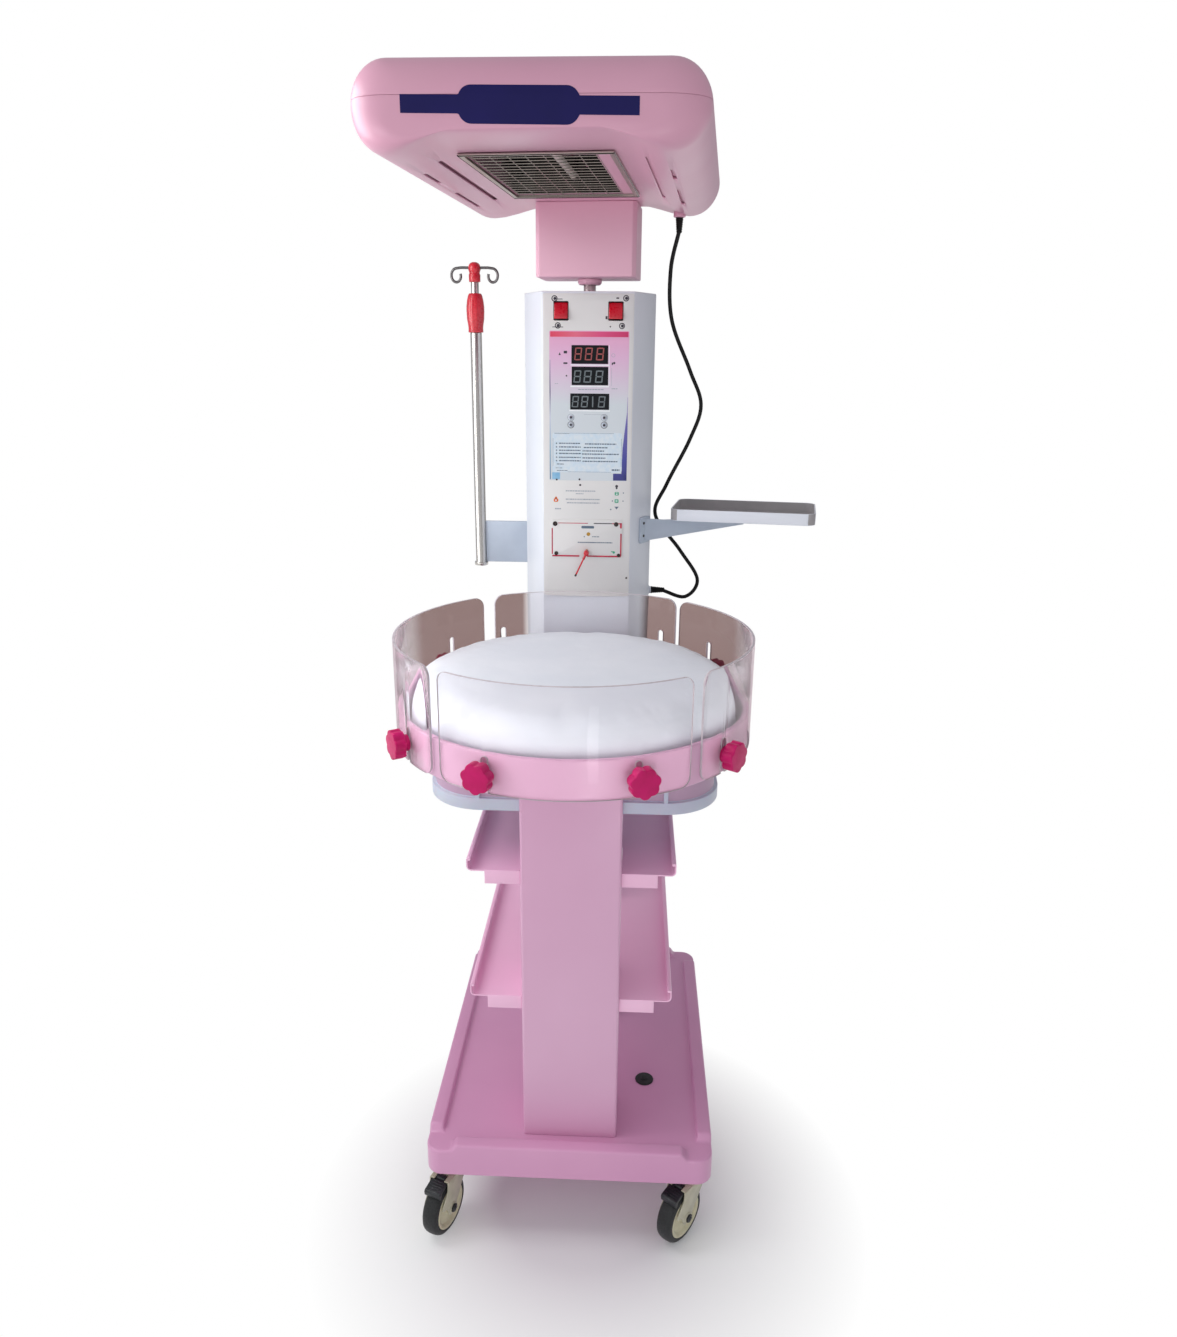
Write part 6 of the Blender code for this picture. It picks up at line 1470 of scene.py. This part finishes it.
def make_heater():
    """The reflector's bowl and frame, the quartz tube with its end caps, and the wire grille."""
    sheet, well_deep, well_slope, tube_up, tube_r = 0.003, 0.0505, 0.0303, 0.026, 0.0052
    low = HEAD_UNDER - HAIR - sheet
    middle = Vector(((FRAME_LEFT + FRAME_RIGHT) / 2, (FRAME_REAR + FRAME_FRONT) / 2, low))
    rim = bmesh.new()
    bmesh.ops.create_grid(rim, x_segments=1, y_segments=1, size=0.5)
    bmesh.ops.scale(rim, vec=(FRAME_RIGHT - FRAME_LEFT, FRAME_REAR - FRAME_FRONT, 1),
                    verts=rim.verts)
    bmesh.ops.translate(rim, vec=middle, verts=rim.verts)
    for v in stepped(rim, list(rim.faces), FRAME_LIP, well_deep):
        v.co.x -= math.copysign(well_slope, v.co.x - middle.x)
        v.co.y -= math.copysign(well_slope, v.co.y - middle.y)
    outward(rim)
    bmesh.ops.solidify(rim, geom=rim.faces, thickness=0.0012)
    outward(rim)
    hole = cylinder(tube_r + 0.0014, 1, -1, 32)
    rim = carved(rim, placed(hole, turn(90, "X"), at(middle.x, 0, low + tube_up)))
    piece("reflector_bowl", rim, REFLECTOR, "head", HEAD_PLACE, ["reflector"], 30)
    edge = FRAME_LIP - 0.002
    lip = carved(box((FRAME_LEFT, FRAME_FRONT, low), (FRAME_RIGHT, FRAME_REAR, low + sheet),
                     0.002, 4, soft=0.0006),
                 box((FRAME_LEFT + edge, FRAME_FRONT + edge, low - 0.1),
                     (FRAME_RIGHT - edge, FRAME_REAR - edge, low + 0.1)))
    piece("reflector_frame", placed(lip, at(0, 0, -0.0004)), FRAME_METAL, "head", HEAD_PLACE)
    begin, end = FRAME_FRONT + 0.0174, FRAME_REAR - 0.0174
    tube = placed(cylinder(tube_r, end - begin, 0, 32), turn(-90, "X"),
                  at(middle.x, begin, low + tube_up))
    piece("quartz_heater_tube", tube, QUARTZ, "head", HEAD_PLACE, ["heater_tube"])
    caps = []
    for y, sign in ((begin, 1), (end, -1)):
        cap = turned([(0.0050, 0.022), (0.0060, 0.0205), (0.0060, 0.0005), (0.0050, 0)], 32,
                     0.0004, 2)
        caps.append(placed(cap, turn(-90 * sign, "X"),
                           at(middle.x, y - sign * 0.004, low + tube_up)))
    piece("heater_end_caps", together(*caps), FRAME_METAL, "head", HEAD_PLACE)
    left, right = FRAME_LEFT + 0.0105, FRAME_RIGHT - 0.0240
    front, rear = FRAME_FRONT + 0.0105, FRAME_REAR - 0.0105
    wires, rows, columns = [], 17, 8
    for i in range(rows):
        y, z = front + (rear - front) * i / (rows - 1), low + 0.0020
        wires.append(wired([(left, y, z), (right, y, z)], 0.00065, 1))
    for i in range(columns):
        x, z = left + (right - left) * i / (columns - 1), low + 0.0036
        wires.append(wired([(x, front, z), (x, rear, z)], 0.0007, 1))
    piece("grille_wires", together(*wires), GRILLE_WIRE, "head", HEAD_PLACE, ["grille"])
    side = box((right - 0.002, front - 0.002, low + 0.0032),
               (FRAME_RIGHT - edge, rear + 0.002, low + 0.0042), soft=0.0003, soft_steps=1)
    piece("reflector_side_sheet", side, HEAD_PINK, "head", HEAD_PLACE)


def make_neck():
    """The folded box under the head, and the flange and the pin that it turns on."""
    low = Vector((-NECK_HALF, NECK_FRONT - PIN_Y, NECK_LOW))
    high = Vector((NECK_HALF, NECK_REAR - PIN_Y, HEAD_UNDER - HAIR))
    neck = box(low, high, 0.006, 1, soft=0.0014, soft_steps=3)
    wall = 0.0025
    hollow = box(low + Vector((wall, wall, wall)), high + Vector((-wall, -wall, 0.01)), 0.0045, 1)
    piece("neck_box", carved(neck, hollow), NECK_PINK, "head", HEAD_PLACE, ["neck"])
    flange_foot, pin_low = 1.5868, 1.5025
    flange = turned([(PIN_FLANGE, NECK_LOW - HAIR), (PIN_FLANGE, 1.5900), (0.0170, flange_foot)],
                    64, 0.0008, 3)
    piece("swivel_flange", flange, NECK_PINK, "head", HEAD_PLACE)
    pin = cylinder(PIN_R - 0.001, flange_foot - 0.0001, pin_low, 48, 0.0006, 2)
    piece("swivel_pin_shaft", pin, STEEL, "head", HEAD_PLACE, ["swivel_pin"])


# Pole and tray

def hook_points(side):
    start = [Vector((0, 0, HOOK_Z)), Vector((HOOK_REACH * 0.22, 0, HOOK_Z + 0.0006)),
             Vector((HOOK_REACH * 0.45, 0, HOOK_Z + HOOK_WIRE * 0.4)),
             Vector((HOOK_REACH * 0.75, 0, HOOK_Z + 0.0010))]
    for i in range(25):
        t = i / 24
        angle = math.radians(90 - 292 * t)
        reach = HOOK_CURL * (1 - 0.28 * t)
        start.append(Vector((HOOK_REACH + reach * math.cos(angle), 0,
                             HOOK_Z - HOOK_CURL * 1.25 + reach * 1.25 * math.sin(angle))))
    return [Vector((side * p.x, 0, p.z)) for p in start]


def make_pole():
    tube = spun([(ROD_R + 0.0004, POLE_HIGH), (POLE_R, POLE_HIGH), (POLE_R, POLE_LOW + 0.006),
                 (0.0125, POLE_LOW + 0.006), (0.0125, POLE_LOW), (ROD_R + 0.0004, POLE_LOW)], 48,
                0.0006, 2)
    piece("pole_outer_tube", tube, STEEL, "stand", POLE_PLACE, ["pole_tube"])
    bore, low = ROD_R + 0.0008, POLE_HIGH + HAIR
    tall = GRIP_TOP - low
    grip = [(bore, GRIP_TOP), (0.0105, GRIP_TOP), (GRIP_R * 0.80, GRIP_TOP - tall * 0.06),
            (GRIP_R * 0.92, GRIP_TOP - tall * 0.18), (GRIP_R, GRIP_TOP - tall * 0.34),
            (GRIP_R, GRIP_TOP - tall * 0.46), (GRIP_R * 0.97, low + tall * 0.35),
            (GRIP_R * 0.86, low + tall * 0.2), (GRIP_R * 0.82, low + tall * 0.12),
            (GRIP_R * 0.84, low), (bore, low)]
    body = spun(grip, 96, 0.0006, 2)
    for v in body.verts:
        radius = math.hypot(v.co.x, v.co.y)
        if radius > bore + 0.002 and low + tall * 0.3 < v.co.z < GRIP_TOP - tall * 0.1:
            wave = 1 - 0.035 * (0.5 + 0.5 * math.cos(12 * math.atan2(v.co.y, v.co.x)))
            v.co.x, v.co.y = v.co.x * wave, v.co.y * wave
    piece("pole_twist_grip", body, RED, "grip", POLE_PLACE, ["pole_grip"])
    rod = cylinder(ROD_R, ROD_TOP, POLE_LOW + 0.021, 40, 0.0006, 2)
    piece("pole_inner_rod", rod, STEEL, "rod", POLE_PLACE, ["pole_rod"])
    hooks = [wired(hook_points(side), HOOK_WIRE, 4) for side in (-1, 1)]
    piece("pole_hook_wires", together(*hooks), HOOK_STEEL, "rod", POLE_PLACE)
    head = spun([(0, 1.6285), (0.0040, 1.6282), (0.0072, 1.6266), (0.0094, 1.6240),
                 (0.0105, 1.6205), (0.0105, 1.6160), (0.0093, 1.6125), (0.0088, 1.6105),
                 (0.0100, 1.6080), (0.0097, ROD_HEAD_LOW), (0, ROD_HEAD_LOW)], 64, 0.0005, 2)
    head = carved(head, cylinder(ROD_R + HAIR, ROD_TOP + HOOK_WIRE, ROD_HEAD_LOW - 0.01, 40),
                  box((-0.02, -HOOK_WIRE - 0.0004, HOOK_Z - 0.0032),
                      (0.02, HOOK_WIRE + 0.0004, HOOK_Z + 0.0034)))
    piece("pole_hook_head", head, RED, "rod", POLE_PLACE, ["pole_head"])


def copy_of(cad, soft):
    """A CAD node's own shape with its doubles merged, flat faces joined and edges softened."""
    bm = bmesh.new()
    bm.from_mesh(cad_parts[cad].data)
    welded(bm, 0.00003)
    bmesh.ops.dissolve_limit(bm, angle_limit=math.radians(1), verts=bm.verts, edges=bm.edges)
    placed(bm, MAST_PLACE.inverted())
    edges = [e for e in bm.edges if len(e.link_faces) == 2
             and e.calc_face_angle(0) > math.radians(35) and e.calc_length() > soft * 3]
    rounded(bm, edges, soft, 2, False)
    return bm


def make_brackets():
    """The two sheet brackets take their forms from the model; the screws are added."""
    for name, cad, soft in (("pole_bracket_plate", "pole_bracket", 0.0005),
                            ("tray_arm_bracket", "tray_arm", 0.0004)):
        piece(name, copy_of(cad, soft), BRACKET_COAT, "stand", MAST_PLACE, [cad])
    along = Vector((MAST_HALF - MAST_FACE, MAST_CHAMFER, 0)).normalized()
    out = Vector((along.y, -along.x, 0))
    middle = Vector((MAST_FACE, MAST_FRONT, 0)).lerp(
        Vector((MAST_HALF, MAST_FRONT + MAST_CHAMFER, 0)), 0.66) + out * 0.0034
    middle -= along * 0.006
    screws = []
    for z in (1.2005, 1.1785):
        head = turned([(0.0014, 0.0013), (0.0024, 0.0005), (0.0024, -0.0005)], 24)
        screws.append(placed(head, turn(90, "X"),
                             Matrix.Rotation(math.atan2(along.y, along.x), 4, "Z"),
                             at(middle.x, middle.y, z)))
    piece("tray_arm_screws", together(*screws), SCREW, "stand", MAST_PLACE)


def make_tray():
    half_x, half_y = TRAY_LONG / 2, TRAY_DEEP / 2
    bm = box((-half_x, -half_y, TRAY_LOW), (half_x, half_y, TRAY_HIGH), TRAY_CORNER, 10)
    top = [f for f in bm.faces if f.normal.z > 0.9]
    stepped(bm, top, 0.0022, -(TRAY_HIGH - TRAY_LOW - 0.002))
    softened(bm, 0.0009, 3)
    bm = carved(bm, cylinder(0.0034, TRAY_HIGH, TRAY_LOW - 0.01, 28))
    # Faces inside the dish take the darker grey
    for f in bm.faces:
        middle = f.calc_center_median()
        inward = (abs(middle.x) < half_x - 0.0012 and abs(middle.y) < half_y - 0.0012
                  and middle.z > TRAY_LOW + 0.0010)
        f.material_index = 1 if inward and middle.z < TRAY_HIGH - 0.0003 else 0
    piece("side_tray_dish", bm, [WHITE, TRAY_INSIDE_GREY], "tray", TRAY_PLACE, ["side_tray"])


# Floor and light

def make_stage():
    bm = bmesh.new()
    bmesh.ops.create_grid(bm, x_segments=1, y_segments=1, size=14)
    floor = as_object("studio_floor", bm)
    material = bpy.data.materials.new("pale_studio_floor")
    material.use_nodes = True
    tree = material.node_tree
    shader = tree.nodes["Principled BSDF"]
    shader.inputs["Roughness"].default_value = 0.7
    shader.inputs["Specular IOR Level"].default_value = 0.2
    link(tree, shader, Base_Color=drifting(tree, 0.4, "#F4F4F4", "#F1F1F2"))
    where = node(tree, "ShaderNodeTexCoord").outputs["Object"]
    middle = (BED.x + STAND_X + 0.03, BED.y + 0.06, 0)
    far = node(tree, "ShaderNodeVectorMath", {0: where, 1: middle},
               operation="DISTANCE").outputs["Value"]
    fade = ranged(tree, far, 0, 1, 0.16, 0.50)
    rays = node(tree, "ShaderNodeLightPath").outputs
    seen = reckoned(tree, "MAXIMUM", rays["Is Camera Ray"], rays["Is Glossy Ray"])
    seen = reckoned(tree, "MAXIMUM", seen, rays["Is Transmission Ray"])
    glow = node(tree, "ShaderNodeEmission", {"Color": (1, 1, 1, 1), "Strength": 1.0})
    mix = overlaid(tree, reckoned(tree, "MULTIPLY", seen, fade), shader.outputs[0],
                   glow.outputs[0])
    tree.links.new(mix, tree.nodes["Material Output"].inputs["Surface"])
    floor.data.materials.append(material)


def make_lights():
    """Three softboxes at the left and in front, no higher than the head, a strip that the front
    panel mirrors, and a room that is brightest low on the left, so that the right flanks and the
    metal keep their darks."""
    world = bpy.data.worlds.new("studio")
    bpy.context.scene.world = world
    world.use_nodes = True
    tree = world.node_tree
    plain = tree.nodes["Background"]
    plain.inputs["Color"].default_value = (0.95, 0.96, 1, 1)
    toward = node(tree, "ShaderNodeTexCoord").outputs["Generated"]
    facing = node(tree, "ShaderNodeVectorMath", {0: toward, 1: (-0.55, -0.56, -0.62)},
                  operation="DOT_PRODUCT").outputs["Value"]
    tree.links.new(ranged(tree, facing, 0.45, 0.79, -0.5, 0.9), plain.inputs["Strength"])
    rays = node(tree, "ShaderNodeLightPath").outputs
    seen = reckoned(tree, "MAXIMUM", rays["Is Camera Ray"], rays["Is Transmission Ray"])
    white = node(tree, "ShaderNodeBackground", {"Color": (1, 1, 1, 1), "Strength": 1.0})
    mix = overlaid(tree, seen, plain.outputs[0], white.outputs[0])
    tree.links.new(mix, tree.nodes["World Output"].inputs["Surface"])
    for name, place, goal, size, power in (
            ("bed_softbox", (-0.90, -0.08, 1.63), (-0.04, -0.10, 0.95), (0.5, 0.9), 7.0),
            ("left_softbox", (-1.6, -1.2, 1.30), (0, 0.15, 0.6), (0.8, 0.7), 4),
            ("front_fill", (-0.6, -2.6, 1.20), (0, 0.1, 1.0), (1.6, 0.9), 3.2),
            ("panel_strip", (0.49, -1.96, 0.35), (0, -0.25, 1.0), (0.22, 1.2), 4)):
        data = bpy.data.lights.new(name, "AREA")
        data.shape = "RECTANGLE"
        data.size, data.size_y = size
        data.energy = power
        lamp = added(name, data)
        lamp.location = BED_PLACE @ Vector(place)
        goal = BED_PLACE @ Vector(goal)
        lamp.rotation_euler = (goal - lamp.location).to_track_quat("-Z", "Y").to_euler()


bpy.context.scene.view_settings.view_transform = "Standard"
make_camera()
make_cord()
make_base()
make_casters()
make_posts()
make_shelf("shelf_lower", SHELF_LEVELS[0])
make_shelf("shelf_upper", SHELF_LEVELS[1])
make_tub()
make_pan()
make_pad()
make_knobs()
make_panels()
make_mast()
make_sensor_plate()
make_print()
make_plate_screws()
make_head()
make_vent_baffles()
make_head_band()
make_heater()
make_neck()
make_pole()
make_brackets()
make_tray()
make_stage()
make_lights()
